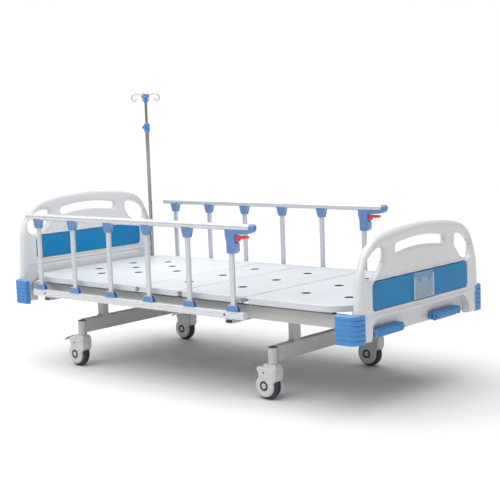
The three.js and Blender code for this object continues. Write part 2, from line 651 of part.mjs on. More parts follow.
// Push tube: the nut end runs on the crank's screw, the tongue end drives the lever's fork.
function pushTube({ x, side, swing, y }) {
  const travel = LEVER.drop * Math.tan(THREE.MathUtils.degToRad(swing));
  const pinX = x - side * travel;
  const tube = rod('x', 13, pinX + 26, 400, y, CRANK_Z, 8);
  const nut = bore('x', SHAFT.screw, pinX + 60, 402, y, CRANK_Z, 8);
  const tongue = box(pinX - 11, pinX + 28, y - 6, y + 6, CRANK_Z - 10, CRANK_Z + 10);
  const pin = rod('y', 5, y - 13, y + 13, pinX, CRANK_Z, 8);
  return joined([tube.subtract(nut), tongue, pin]);
}

// ---- drip pole ------------------------------------------------------------------------------
function poleLowerTube() {
  const tube = rod('z', POLE.lower, POLE.bottom, POLE.joint, POLE.x, POLE.y);
  return tube.subtract(bore('z', POLE.upper, 640, POLE.joint + 1, POLE.x, POLE.y));
}

// A curled wire hook: out from the hub, then round in an open loop.
function hookWire(angle) {
  const direction = new THREE.Vector3(Math.cos(angle), Math.sin(angle), 0);
  const at = (reach, rise) => direction.clone().multiplyScalar(reach)
    .add(new THREE.Vector3(POLE.x, POLE.y, HOOK.hubZ + rise));
  const path = new THREE.CatmullRomCurve3([
    at(8, 0), at(30, 8), at(52, 12), at(70, 7), at(HOOK.reach - 3, -8), at(74, -24), at(60, -26),
    at(52, -15),
  ]);
  const corners = [0, 1, 2, 3].map((index) => index * Math.PI / 2);
  const section = polygon(corners.map((turn) =>
    [HOOK.wire * Math.cos(turn), HOOK.wire * Math.sin(turn)]));
  return solid(new THREE.ExtrudeGeometry(section, {
    steps: 11, extrudePath: path, bevelEnabled: false,
  }));
}

function poleUpperTube() {
  const tube = rod('z', POLE.upper, 760, HOOK.hubZ, POLE.x, POLE.y, 12);
  const hub = [
    rod('z', 12, HOOK.hubZ - 38, HOOK.hubZ + 12, POLE.x, POLE.y, 12),
    rod('z', 19, HOOK.hubZ - 10, HOOK.hubZ + 10, POLE.x, POLE.y, 12),
  ];
  const wires = [0, 1, 2, 3].map((index) => hookWire(Math.PI * (0.18 + index / 2)));
  return joined([tube, ...hub, ...wires]);
}

function poleCollar() {
  const bottom = POLE.joint - 5;
  const sleeve = rod('z', 16, bottom, bottom + 50, POLE.x, POLE.y);
  const knob = rod('x', 9, POLE.x - 32, POLE.x - 12, POLE.y, bottom + 28, 16);
  const cuts = [
    bore('z', POLE.lower, bottom - 1, POLE.joint + 0.5, POLE.x, POLE.y),
    bore('z', POLE.upper, bottom, bottom + 60, POLE.x, POLE.y),
  ];
  return less(sleeve.add(knob), cuts);
}

// ---- assembly -------------------------------------------------------------------------------
place('bed_frame', bedFrame(), FRAME_PAINT);
place('head_leg_frame', legFrame(LEG_X.head, CASTER_X.head), FRAME_PAINT);
place('foot_leg_frame', legFrame(LEG_X.foot, CASTER_X.foot), FRAME_PAINT);

place('back_panel', backPanel(), DECK_PAINT);
place('seat_panel', seatPanel(), DECK_PAINT);
place('thigh_panel', thighPanel(), DECK_PAINT);
place('leg_panel', legPanel(), DECK_PAINT);

const shaftHoles = CRANKS.map((crank) =>
  bore('x', SHAFT.radius, BOARD.inner - 5, BOARD.outer, crank.y, CRANK_Z, 8));
place('footboard', board(0, shaftHoles), BOARD_WHITE);
place('headboard', mirrorX(board(HEAD_RAISE, [])), BOARD_WHITE);
place('footboard_insert', insert(), INSERT_BLUE);
place('headboard_insert', mirrorX(insert().translate([0, 0, HEAD_RAISE])), INSERT_BLUE);
place('card_holder', cardHolder(), CLEAR_PLASTIC);
for (const [sideName, side] of [['near', -1], ['far', 1]]) {
  place(`foot_${sideName}_bumper`, bumper(side), BUMPER_BLUE);
  place(`head_${sideName}_bumper`, mirrorX(bumper(side)), BUMPER_BLUE);
}

for (const [sideName, turn] of [['near', mirrorY], ['far', (body) => body]]) {
  place(`${sideName}_lower_rail`, turn(lowerRail()), RAIL_SILVER);
  place(`${sideName}_top_rail`, turn(topRail()), RAIL_SILVER);
  for (let index = 0; index < POST.count; index += 1) {
    place(`${sideName}_post_${index + 1}`, turn(post(postX(index))), RAIL_SILVER);
  }
  place(`${sideName}_latch_housing`, turn(latchHousing()), FITTING_BLUE);
  place(`${sideName}_latch_lever`, turn(latchLever()), LATCH_RED);
}

for (const [endName, stemX] of Object.entries(CASTER_X)) {
  for (const [sideName, side] of [['near', -1], ['far', 1]]) {
    const at = [stemX, side * CASTER_Y, 0];
    place(`${endName}_${sideName}_caster_hood`, casterHood().translate(at), HOOD_GREY);
    place(`${endName}_${sideName}_caster_wheel`, casterWheel().translate(at), TYRE_DARK);
    place(`${endName}_${sideName}_caster_pedal`, casterPedal().translate(at), ZINC);
  }
}

for (const crank of CRANKS) {
  place(`${crank.name}_shaft`, crankShaft(crank), CRANK_BLUE);
  place(`${crank.name}_grip`, crankGrip(crank), CRANK_BLUE);
}
for (const [name, lever] of [['back', BACK_LEVER], ['knee', KNEE_LEVER]]) {
  place(`${name}_lift_lever`, liftLever(lever), FRAME_PAINT);
  place(`${name}_push_tube`, pushTube(lever), ZINC);
}

place('pole_lower_tube', poleLowerTube(), POLE_STEEL);
place('pole_upper_tube', poleUpperTube(), POLE_STEEL);
place('pole_collar', poleCollar(), FITTING_BLUE);

export default bed;
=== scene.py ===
"""Two-crank adjustable hospital bed: the visible pieces, their finishes, the stage and the camera.

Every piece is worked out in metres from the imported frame's nodes and rides on their bodies.
"""

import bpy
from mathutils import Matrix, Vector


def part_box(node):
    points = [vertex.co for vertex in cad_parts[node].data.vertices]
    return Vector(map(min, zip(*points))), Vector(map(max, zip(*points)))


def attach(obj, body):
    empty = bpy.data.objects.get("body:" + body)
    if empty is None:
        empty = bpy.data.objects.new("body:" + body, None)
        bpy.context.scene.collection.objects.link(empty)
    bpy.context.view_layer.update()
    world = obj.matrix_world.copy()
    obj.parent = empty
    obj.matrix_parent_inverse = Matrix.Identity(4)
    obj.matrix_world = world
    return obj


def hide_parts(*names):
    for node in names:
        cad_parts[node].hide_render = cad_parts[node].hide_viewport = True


bl_info = {
    "name": "Two-Crank Hospital Bed",
    "version": (1, 0, 0),
    "blender": (4, 5, 0),
    "location": "View3D > Sidebar > Bed",
    "description": "Builds the pieces of a two-crank adjustable hospital bed around its frame",
    "category": "Object",
}

import math

import bmesh
import bpy
import numpy as np
from mathutils import Matrix, Vector
from mathutils.geometry import delaunay_2d_cdt, tessellate_polygon

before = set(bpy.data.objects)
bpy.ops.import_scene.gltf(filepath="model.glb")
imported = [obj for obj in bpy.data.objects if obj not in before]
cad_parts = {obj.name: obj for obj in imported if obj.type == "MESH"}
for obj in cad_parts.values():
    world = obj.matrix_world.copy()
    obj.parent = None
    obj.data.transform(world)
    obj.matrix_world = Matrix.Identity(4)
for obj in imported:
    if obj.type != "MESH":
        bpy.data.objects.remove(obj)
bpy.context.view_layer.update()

SIDES = {"near": -1, "far": 1}
ENDS = {"head": -1, "foot": 1}
POSTS = range(1, 7)


# ---- sizes and colours that a user would change ------------------------------------------
def length(name, default, description):
    return bpy.props.FloatProperty(
        name=name, default=default, description=description, unit="LENGTH", min=0.0
    )


def colour(name, default, description):
    return bpy.props.FloatVectorProperty(
        name=name, default=default, description=description, subtype="COLOR", size=3, min=0.0, max=1.0
    )


class BedSizes(bpy.types.PropertyGroup):
    """Sizes of the fine shapes that the frame leaves open."""

    board_roll: length("Board Roll", 0.021, "Radius of the end boards' rolled outer edge")
    hole_roll: length("Hole Roll", 0.010, "Radius of the rolled edge round each hand hole")
    board_grid: length("Board Grid", 0.011, "Spacing of the points inside an end board")
    web: length("Board Web", 0.0150, "Half thickness of an end board away from its rim")
    sheet_bend: length("Sheet Bend", 0.004, "Bend radius along a deck panel's edges")
    # This rim is the rounded rim of the dark vent lining, which is painted shade in the vent holes.
    vent_shade_rim: length("Vent Rim", 0.0011, "Radius of the pressed rim round each vent")
    tube_corner: length("Tube Corner", 0.004, "Corner radius of the square steel tubes")
    screw_radius: length("Screw Radius", 0.0055, "Head radius of the screws")
    screw_height: length("Screw Height", 0.0025, "Head height of the screws")
    rivet_radius: length("Rivet Radius", 0.0045, "Head radius of the hinge pins and rivets")
    bead: length("Weld Bead", 0.0028, "Radius of one drop in a weld bead")


class BedColours(bpy.types.PropertyGroup):
    """Base colour of each finish."""

    frame_paint: colour("Frame Paint", (0.50, 0.50, 0.49), "Powder coat of the tube frame")
    deck_paint: colour("Deck Paint", (0.61, 0.64, 0.675), "Powder coat of the deck panels")
    board_white: colour("Board White", (0.68, 0.69, 0.705), "Moulded end boards")
    insert_blue: colour("Insert Blue", (0.006, 0.215, 0.480), "Sheet in the end boards' windows")
    bumper_blue: colour("Bumper Blue", (0.055, 0.250, 0.600), "Corner bumpers")
    fitting_blue: colour("Fitting Blue", (0.120, 0.250, 0.520), "Guard rail and pole fittings")
    crank_blue: colour("Crank Blue", (0.020, 0.215, 0.520), "Crank arms and grips")
    latch_red: colour("Latch Red", (0.740, 0.035, 0.070), "Guard rail release levers")
    rail_silver: colour("Rail Silver", (0.63, 0.65, 0.685), "Anodised guard rails")
    pole_steel: colour("Pole Steel", (0.42, 0.43, 0.42), "Polished drip pole")
    zinc: colour("Zinc", (0.36, 0.36, 0.35), "Zinc plated lifting gear and pedals")
    hood_grey: colour("Hood Grey", (0.62, 0.62, 0.62), "Caster hoods")
    tyre_dark: colour("Tyre Dark", (0.022, 0.018, 0.034), "Caster tyres")
    black_plastic: colour("Black Plastic", (0.012, 0.012, 0.014), "Tube plugs and screws")


# ---- finishes ------------------------------------------------------------------------------
def mix_colour(nodes, links, factor, first, second):
    """A colour Mix node; factor is a socket, and the colours are sockets or plain values."""
    mix = nodes.new("ShaderNodeMix")
    mix.data_type = "RGBA"
    links.new(factor, mix.inputs["Factor"])
    for name, value in (("A", first), ("B", second)):
        socket = [s for s in mix.inputs if s.name == name and s.type == "RGBA"][0]
        if isinstance(value, bpy.types.NodeSocket):
            links.new(value, socket)
        else:
            socket.default_value = (*value, 1.0)
    return [s for s in mix.outputs if s.type == "RGBA"][0]


def noise(nodes, links, where, scale, detail=2.0, roughness=0.5):
    texture = nodes.new("ShaderNodeTexNoise")
    texture.inputs["Scale"].default_value = scale
    texture.inputs["Detail"].default_value = detail
    texture.inputs["Roughness"].default_value = roughness
    links.new(where, texture.inputs["Vector"])
    return texture.outputs["Fac"]


def remap(nodes, links, value, low, high, to_low, to_high):
    ramp = nodes.new("ShaderNodeMapRange")
    for name, number in (
        ("From Min", low), ("From Max", high), ("To Min", to_low), ("To Max", to_high)
    ):
        ramp.inputs[name].default_value = number
    links.new(value, ramp.inputs["Value"])
    return ramp.outputs["Result"]


def darker(base, share):
    return tuple(c * share for c in base)


def lighter(base, share):
    return tuple(c + (1.0 - c) * share for c in base)


def surface(name, base, roughness, metallic=0.0, grain=700.0, relief=0.00006, stretch=(1, 1, 1),
            clouds=5.0, cloud_depth=0.90, wear=None, wear_share=0.6, coat=0.0, speckle=0.35,
            gloss=0.5):
    """A finish with soft colour clouds, a fine grain in roughness and relief, and worn edges."""
    material = bpy.data.materials.new(name)
    material.use_nodes = True
    material.diffuse_color = (*base, 1.0)
    nodes, links = material.node_tree.nodes, material.node_tree.links
    shader = nodes["Principled BSDF"]
    coordinates = nodes.new("ShaderNodeTexCoord").outputs["Object"]
    mapping = nodes.new("ShaderNodeMapping")
    mapping.inputs["Scale"].default_value = stretch
    links.new(coordinates, mapping.inputs["Vector"])
    cloud = noise(nodes, links, coordinates, clouds, 3.0)
    fine = noise(nodes, links, mapping.outputs["Vector"], grain, 2.0, 0.6)
    factor = remap(nodes, links, cloud, 0.3, 0.7, 0.0, 1.0)
    tint = mix_colour(nodes, links, factor, base, darker(base, cloud_depth))
    speck = remap(nodes, links, fine, 0.62, 0.75, 0.0, speckle)
    tint = mix_colour(nodes, links, speck, tint, darker(base, 0.82))
    if wear:
        edge = nodes.new("ShaderNodeNewGeometry").outputs["Pointiness"]
        sharp = remap(nodes, links, edge, 0.53, 0.60, 0.0, wear_share)
        tint = mix_colour(nodes, links, sharp, tint, wear)
    links.new(tint, shader.inputs["Base Color"])
    rough = remap(nodes, links, fine, 0.3, 0.7, max(0.02, roughness - 0.06), roughness + 0.07)
    links.new(rough, shader.inputs["Roughness"])
    shader.inputs["Metallic"].default_value = metallic
    shader.inputs["Specular IOR Level"].default_value = gloss
    shader.inputs["Coat Weight"].default_value = coat
    shader.inputs["Coat Roughness"].default_value = 0.08
    bump = nodes.new("ShaderNodeBump")
    bump.inputs["Strength"].default_value = 0.35
    bump.inputs["Distance"].default_value = relief
    links.new(fine, bump.inputs["Height"])
    links.new(bump.outputs["Normal"], shader.inputs["Normal"])
    return material


def powder_coat(name, base):
    """Baked paint: a light orange peel and paler, rubbed edges."""
    return surface(name, base, 0.42, grain=420, relief=0.00010, cloud_depth=0.93,
                   wear=lighter(base, 0.35), wear_share=0.5)


def moulded_gloss(name, base):
    """Blow-moulded plastic: smooth, with faint flow clouds and a soft gloss."""
    return surface(name, base, 0.26, grain=260, relief=0.00003, clouds=3.0, cloud_depth=0.955,
                   coat=0.25, speckle=0.10)


def satin_sheet(name, base):
    """Fine-grained plastic sheet."""
    return surface(name, base, 0.34, grain=1400, relief=0.00005, clouds=4.0, cloud_depth=0.90,
                   speckle=0.2, gloss=0.22)


def moulded_satin(name, base):
    """Injection-moulded fitting: fine spark grain, edges rubbed paler."""
    return surface(name, base, 0.38, grain=1100, relief=0.00008, clouds=14.0, cloud_depth=0.88,
                   wear=lighter(base, 0.45), wear_share=0.55)


def anodised(name, base):
    """Extruded aluminium with fine lengthwise drawing lines."""
    return surface(name, base, 0.30, metallic=0.45, grain=500, relief=0.00002,
                   stretch=(0.04, 1, 1), clouds=2.5, cloud_depth=0.95, wear=lighter(base, 0.5),
                   speckle=0.04)


def upright_anodised(name, base):
    """The same aluminium, drawn upwards."""
    return surface(name, base, 0.30, metallic=0.55, grain=500, relief=0.00002,
                   stretch=(1, 1, 0.04), clouds=2.5, cloud_depth=0.95, wear=lighter(base, 0.5),
                   speckle=0.06)


def polished_steel(name, base):
    return surface(name, base, 0.13, metallic=1.0, grain=260, relief=0.00002,
                   stretch=(1, 1, 0.03), clouds=3.0, cloud_depth=0.8)


def zinc_plate(name, base):
    """Plated steel: spangled clouds and a dull shine."""
    return surface(name, base, 0.36, metallic=0.85, grain=160, relief=0.00005, clouds=40.0,
                   cloud_depth=0.72, wear=lighter(base, 0.4))


def rubber(name, base):
    """Tyre rubber: matt, dusty where it is rubbed."""
    return surface(name, base, 0.62, grain=900, relief=0.00015, clouds=22.0, cloud_depth=0.6,
                   wear=lighter(base, 0.25), wear_share=0.5)


def acrylic(name, cover):
    """Clear card holder, slightly cloudy with fine scratches; `cover` is how much it hides."""
    material = surface(name, (0.82, 0.90, 0.95), 0.10, grain=180, relief=0.00003,
                       stretch=(1, 0.2, 1), clouds=30.0, cloud_depth=0.92)
    shader = material.node_tree.nodes["Principled BSDF"]
    shader.inputs["Alpha"].default_value = cover
    shader.inputs["IOR"].default_value = 1.49
    return material


MAKERS = {
    "frame_paint": powder_coat, "deck_paint": powder_coat, "board_white": moulded_gloss,
    "insert_blue": satin_sheet, "bumper_blue": moulded_satin, "fitting_blue": moulded_satin,
    "crank_blue": moulded_satin, "latch_red": moulded_satin, "rail_silver": anodised,
    "pole_steel": polished_steel, "zinc": zinc_plate, "hood_grey": moulded_satin,
    "tyre_dark": rubber, "black_plastic": moulded_satin,
}


def finish(name):
    """The finish called `name`, made the first time that it is asked for."""
    label = name.replace("_", " ").title()
    found = bpy.data.materials.get(label)
    if found:
        return found
    colours = bpy.context.scene.bed_colours
    if name in ("clear_plastic", "clear_edge"):
        return acrylic(label, 0.13 if name == "clear_plastic" else 0.60)
    if name == "post_silver":
        return upright_anodised(label, tuple(colours.rail_silver))
    return MAKERS[name](label, tuple(getattr(colours, name)))


# ---- outlines ------------------------------------------------------------------------------
def arc(u, v, radius, start, end, steps):
    """Points on an arc; angles in degrees."""
    turns = [math.radians(start + (end - start) * i / steps) for i in range(steps + 1)]
    return [(u + radius * math.cos(t), v + radius * math.sin(t)) for t in turns]


def rounded(u0, u1, v0, v1, radius, steps=5):
    """A rectangle with round corners, anticlockwise. `radius` is one number or four."""
    a, b, c, d = radius if isinstance(radius, tuple) else (radius,) * 4
    return (arc(u0 + a, v0 + a, a, 180, 270, steps) + arc(u1 - b, v0 + b, b, 270, 360, steps)
            + arc(u1 - c, v1 - c, c, 0, 90, steps) + arc(u0 + d, v1 - d, d, 90, 180, steps))


def circle(u, v, radius, steps=24):
    return arc(u, v, radius, 0, 360 * (steps - 1) / steps, steps - 1)


def smooth_through(points, steps=6):
    """An open Catmull-Rom curve through the points."""
    points = [Vector(p) for p in points]
    ends = [points[0] * 2 - points[1], *points, points[-1] * 2 - points[-2]]
    result = []
    for a, b, c, d in zip(ends, ends[1:], ends[2:], ends[3:]):
        for i in range(steps):
            t = i / steps
            result.append(0.5 * ((2 * b) + (c - a) * t + (2 * a - 5 * b + 4 * c - d) * t * t
                                 + (3 * b - a - 3 * c + d) * t ** 3))
    return result + [points[-1]]


def without_repeats(loop):
    """The loop less any point that repeats the one before it."""
    kept = [p for p, q in zip(loop, [loop[-1], *loop]) if math.dist(p, q) > 1e-6]
    return kept


def inset(loop, distance):
    """The loop moved to the left of its travel, which is inwards on an anticlockwise one."""
    if abs(distance) < 1e-9:
        return list(loop)
    moved = []
    for i, (u, v) in enumerate(loop):
        pu, pv = loop[i - 1]
        nu, nv = loop[(i + 1) % len(loop)]
        a = Vector((pv - v, u - pu)).normalized()
        b = Vector((v - nv, nu - u)).normalized()
        mitre = (a + b) / max(0.35, 1.0 + a.dot(b))
        moved.append((u + mitre.x * distance, v + mitre.y * distance))
    return moved


def rolled(low, high, radius, steps=3, top=None):
    """(inset, height) steps for a slab from low to high with rolled edges."""
    top = radius if top is None else top
    turn = [math.pi / 2 * i / steps for i in range(steps + 1)]
    under = [(radius * (1 - math.sin(t)), low + radius * (1 - math.cos(t))) for t in turn]
    over = [(top * (1 - math.cos(t)), high - top * (1 - math.sin(t))) for t in turn]
    return under + over


# ---- solids --------------------------------------------------------------------------------
def on_axis(axis):
    """How (outline u, outline v, height) sit in the row frame for a slab across `axis`."""
    return {
        "x": lambda u, v, h: (h, u, v),
        "y": lambda u, v, h: (u, h, v),
        "z": lambda u, v, h: (u, v, h),
    }[axis]


class Piece:
    """Collects the closed solids of one piece, each in its own finish."""

    def __init__(self, name):
        self.name = name
        self.bm = bmesh.new()
        self.finishes = []

    def _close(self, faces, name):
        if name not in self.finishes:
            self.finishes.append(name)
        for face in faces:
            face.material_index = self.finishes.index(name)
            face.smooth = True
        bmesh.ops.recalc_face_normals(self.bm, faces=faces)

    def _bridge(self, rings, closed=True):
        faces = []
        for a, b in zip(rings, rings[1:]):
            count = max(len(a), len(b))
            for i in range(count if closed else count - 1):
                j = (i + 1) % count
                corners = [a[i % len(a)], a[j % len(a)], b[j % len(b)], b[i % len(b)]]
                corners = [c for n, c in enumerate(corners) if c not in corners[:n]]
                faces.append(self.bm.faces.new(corners))
        return faces

    def slab(self, name, axis, loops, levels):
        """A solid whose outline is `loops` (the first anticlockwise, holes clockwise)."""
        seat = on_axis(axis)
        loops = [without_repeats(loop) for loop in loops]
        faces, first, last = [], [], []
        for loop in loops:
            rings = [[self.bm.verts.new(seat(u, v, h)) for u, v in inset(loop, d)]
                     for d, h in levels]
            faces += self._bridge(rings)
            first += rings[0]
            last += rings[-1]
        for ring, (distance, _) in ((first, levels[0]), (last, levels[-1])):
            flat = [[Vector((u, v, 0)) for u, v in inset(loop, distance)] for loop in loops]
            for a, b, c in tessellate_polygon(flat):
                if len({a, b, c}) == 3:
                    faces.append(self.bm.faces.new((ring[a], ring[b], ring[c])))
        self._close(faces, name)

    def block(self, name, low, high, radius=0.002, axis="z", corner=None):
        """A box with rolled edges; `corner` rounds its four edges along `axis` more."""
        u, v, h = {"x": (1, 2, 0), "y": (0, 2, 1), "z": (0, 1, 2)}[axis]
        corner = max(radius * 1.02, corner or 0)
        loop = rounded(low[u], high[u], low[v], high[v], corner, 4)
        self.slab(name, axis, [loop], rolled(low[h], high[h], radius))

    def tube(self, name, axis, box, corner, wall, roll=0.0006):
        """A rectangular tube along `axis`, open at both ends. `box` is u0, u1, v0, v1, h0, h1."""
        u0, u1, v0, v1, h0, h1 = box
        outer = rounded(u0, u1, v0, v1, corner, 4)
        inner = rounded(u0 + wall, u1 - wall, v0 + wall, v1 - wall, max(0.001, corner - wall), 4)
        self.slab(name, axis, [outer, inner[::-1]], rolled(h0, h1, roll, 2))

    def pipe(self, name, axis, u, v, outer, inner, low, high, roll=0.0006, sides=32):
        """A round tube along `axis`."""
        loops = [circle(u, v, outer, sides), circle(u, v, inner, sides)[::-1]]
        self.slab(name, axis, loops, rolled(low, high, roll, 2))

    def bar(self, name, axis, u, v, radius, low, high, roll=0.001, sides=28):
        """A round bar along `axis` with rolled ends."""
        self.slab(name, axis, [circle(u, v, radius, sides)], rolled(low, high, roll))

    def turned(self, name, axis, centre, profile, sides=36):
        """A solid of revolution about a line through `centre`; profile is (radius, place)."""
        seat = on_axis(axis)
        u0, v0 = {"x": (centre[1], centre[2]), "y": (centre[0], centre[2]),
                  "z": (centre[0], centre[1])}[axis]
        rings = []
        for radius, place in profile:
            if radius < 1e-7:
                rings.append([self.bm.verts.new(seat(u0, v0, place))])
            else:
                rings.append([self.bm.verts.new(seat(u, v, place))
                              for u, v in circle(u0, v0, radius, sides)])
        faces = self._bridge(rings)
        if math.dist(profile[0], profile[-1]) < 1e-9:
            raise ValueError("close a ring profile with ring()")
        self._close(faces, name)

    def ring(self, name, axis, centre, profile, sides=40):
        """A ring: the closed profile of (radius, place) turned about the axis."""
        seat = on_axis(axis)
        u0, v0 = {"x": (centre[1], centre[2]), "y": (centre[0], centre[2]),
                  "z": (centre[0], centre[1])}[axis]
        rings = [[self.bm.verts.new(seat(u, v, place)) for u, v in circle(u0, v0, radius, sides)]
                 for radius, place in profile]
        self._close(self._bridge(rings + [rings[0]]), name)

    def loft(self, name, sections):
        """A solid through closed 3D sections of equal length, capped at both ends."""
        rings = [[self.bm.verts.new(point) for point in section] for section in sections]
        faces = self._bridge(rings)
        faces.append(self.bm.faces.new(rings[0]))
        faces.append(self.bm.faces.new(rings[-1]))
        self._close(faces, name)

    def sweep(self, name, path, section):
        """`section`, a closed (a, b) outline, carried along the path without twisting."""
        path = [Vector(p) for p in path]
        ahead = [(b - a).normalized() for a, b in zip(path, path[1:])]
        ahead = [ahead[0]] + [(a + b).normalized() for a, b in zip(ahead, ahead[1:])] + [ahead[-1]]
        start = Vector((0, 0, 1)) if abs(ahead[0].z) < 0.9 else Vector((0, 1, 0))
        side = ahead[0].cross(start).normalized()
        sections = []
        for i, point in enumerate(path):
            if i:
                turn = ahead[i - 1].rotation_difference(ahead[i])
                side = turn @ side
            up = side.cross(ahead[i]).normalized()
            sections.append([point + side * a + up * b for a, b in section])
        self.loft(name, sections)

    def finish(self, body, slot, *nodes, sharp=38):
        """The collected solids as one object that rides on `body` and stands for `nodes`."""
        mesh = bpy.data.meshes.new(self.name)
        self.bm.to_mesh(mesh)
        self.bm.free()
        return settle(self.name, mesh, [finish(n) for n in self.finishes], body, nodes, sharp)


def settle(name, mesh, materials, body, nodes, sharp=38):
    """Puts a finished mesh into the scene, shades it and ties it to the frame."""
    for material in materials:
        mesh.materials.append(material)
    mesh.set_sharp_from_angle(angle=math.radians(sharp))
    piece = bpy.data.objects.new(name, mesh)
    bpy.context.scene.collection.objects.link(piece)
    even = piece.modifiers.new("Even Shading", "WEIGHTED_NORMAL")
    even.keep_sharp = True
    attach(piece, body)
    if nodes:
        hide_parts(*nodes)
    return piece


def sides_of(node):
    """The box of a node as x0, x1, y0, y1, z0, z1."""
    low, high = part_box(node)
    return low.x, high.x, low.y, high.y, low.z, high.z


# ---- end boards ----------------------------------------------------------------------------
# The moulding's outline above its foot: half width and height, from the straight side up to
# the middle of the arch.
ARCH = ((0.455, 0.224), (0.447, 0.264), (0.425, 0.316), (0.400, 0.362), (0.353, 0.399),
        (0.320, 0.413), (0.240, 0.429), (0.150, 0.438), (0.000, 0.445))
WINDOW = {"half": 0.3653, "low": 0.1227, "high": 0.2393, "corner": 0.026, "foot": 0.018}
POCKET = {"half": 0.376, "top": 0.089, "corner": 0.060, "low": 0.009, "wall": 0.009}
LIP_LINE = 0.098
FOOTBOARD_HEIGHT = ARCH[-1][1]


def board_outline(foot, raised):
    """Anticlockwise outline; the wall between the legs hangs a little above the foot."""
    half = 0.471
    notch = foot + POCKET["low"] + raised
    right = [(POCKET["half"], notch), (POCKET["half"], foot), (half, foot)]
    arch = smooth_through([(a, foot + raised + h) for a, h in ARCH[::-1]], 5)[::-1]
    arch = [(p[0], p[1]) for p in arch]
    left = [(-u, v) for u, v in arch[::-1][1:]]
    lower = [(-half, foot), (-POCKET["half"], foot), (-POCKET["half"], notch)]
    return spaced(right + arch + left + lower, 0.012)


def spaced(loop, step):
    """The closed loop with long stretches divided, so that no gap is over `step`."""
    result = []
    for (u, v), (nu, nv) in zip(loop, [*loop[1:], loop[0]]):
        parts = max(1, math.ceil(math.dist((u, v), (nu, nv)) / step))
        result += [(u + (nu - u) * i / parts, v + (nv - v) * i / parts) for i in range(parts)]
    return without_repeats(result)


def bend(points, steps):
    """A quadratic or cubic Bezier through its control points."""
    result = []
    order = len(points) - 1
    for i in range(steps):
        t = i / steps
        weights = [math.comb(order, k) * t ** k * (1 - t) ** (order - k) for k in range(order + 1)]
        result.append((sum(w * p[0] for w, p in zip(weights, points)),
                       sum(w * p[1] for w, p in zip(weights, points))))
    return result


def hand_slot(base):
    """The long hand hole: it bends with the arch and has round ends."""
    reach, sag, middle = 0.172, 0.020, base + 0.354
    loop = bend([(-reach, base + 0.334), (0, base + 0.364), (reach, base + 0.334)], 20)
    loop += arc(reach, middle, 0.020, -90, 90, 8)[1:]
    loop += bend([(reach, base + 0.374), (0, base + 0.392 + sag / 2), (-reach, base + 0.374)], 20)[1:]
    loop += arc(-reach, middle, 0.020, 90, 270, 8)
    return spaced(without_repeats(loop), 0.010)


def corner_hole(base, side):
    """A drop-shaped hand hole that leans with the board's side."""
    curves = (
        ((0.270, 0.358), (0.275, 0.370), (0.300, 0.370), (0.330, 0.362)),
        ((0.330, 0.362), (0.385, 0.349), (0.412, 0.316), (0.414, 0.286)),
        ((0.414, 0.286), (0.414, 0.254), (0.385, 0.244), (0.345, 0.256)),
        ((0.345, 0.256), (0.300, 0.272), (0.262, 0.324), (0.270, 0.358)),
    )
    loop = [p for curve in curves for p in bend(curve, 9)]
    loop = [(side * u, base + v) for u, v in loop]
    return loop[::-1] if side < 0 else loop


def distance_to(points, loop, closed=True):
    """Distance of each point to a polyline, and whether it lies inside (for a closed one)."""
    ends = np.array([*loop[1:], loop[0]] if closed else loop[1:])
    starts = np.array(loop if closed else loop[:-1])
    run = ends - starts
    offset = points[:, None, :] - starts[None, :, :]
    share = np.clip((offset * run).sum(2) / np.maximum((run ** 2).sum(1), 1e-12), 0, 1)
    gap = np.linalg.norm(offset - share[..., None] * run, axis=2).min(1)
    u, v = points[:, 0:1], points[:, 1:2]
    crosses = (starts[:, 1] > v) != (ends[:, 1] > v)
    rise = np.where(np.abs(run[:, 1]) < 1e-12, 1e-12, run[:, 1])
    inside = (crosses & (u < starts[:, 0] + (v - starts[:, 1]) * run[:, 0] / rise)).sum(1) % 2 == 1
    return gap, inside


def step_up(value, low, high):
    """0 below low, 1 above high, smooth between."""
    t = np.clip((value - low) / (high - low), 0, 1)
    return t * t * (3 - 2 * t)


def roll_off(distance, radius):
    """Share of the full thickness left at this distance from a rolled edge."""
    return np.sqrt(np.clip(1 - (1 - np.clip(distance / radius, 0, 1)) ** 2, 0, 1))


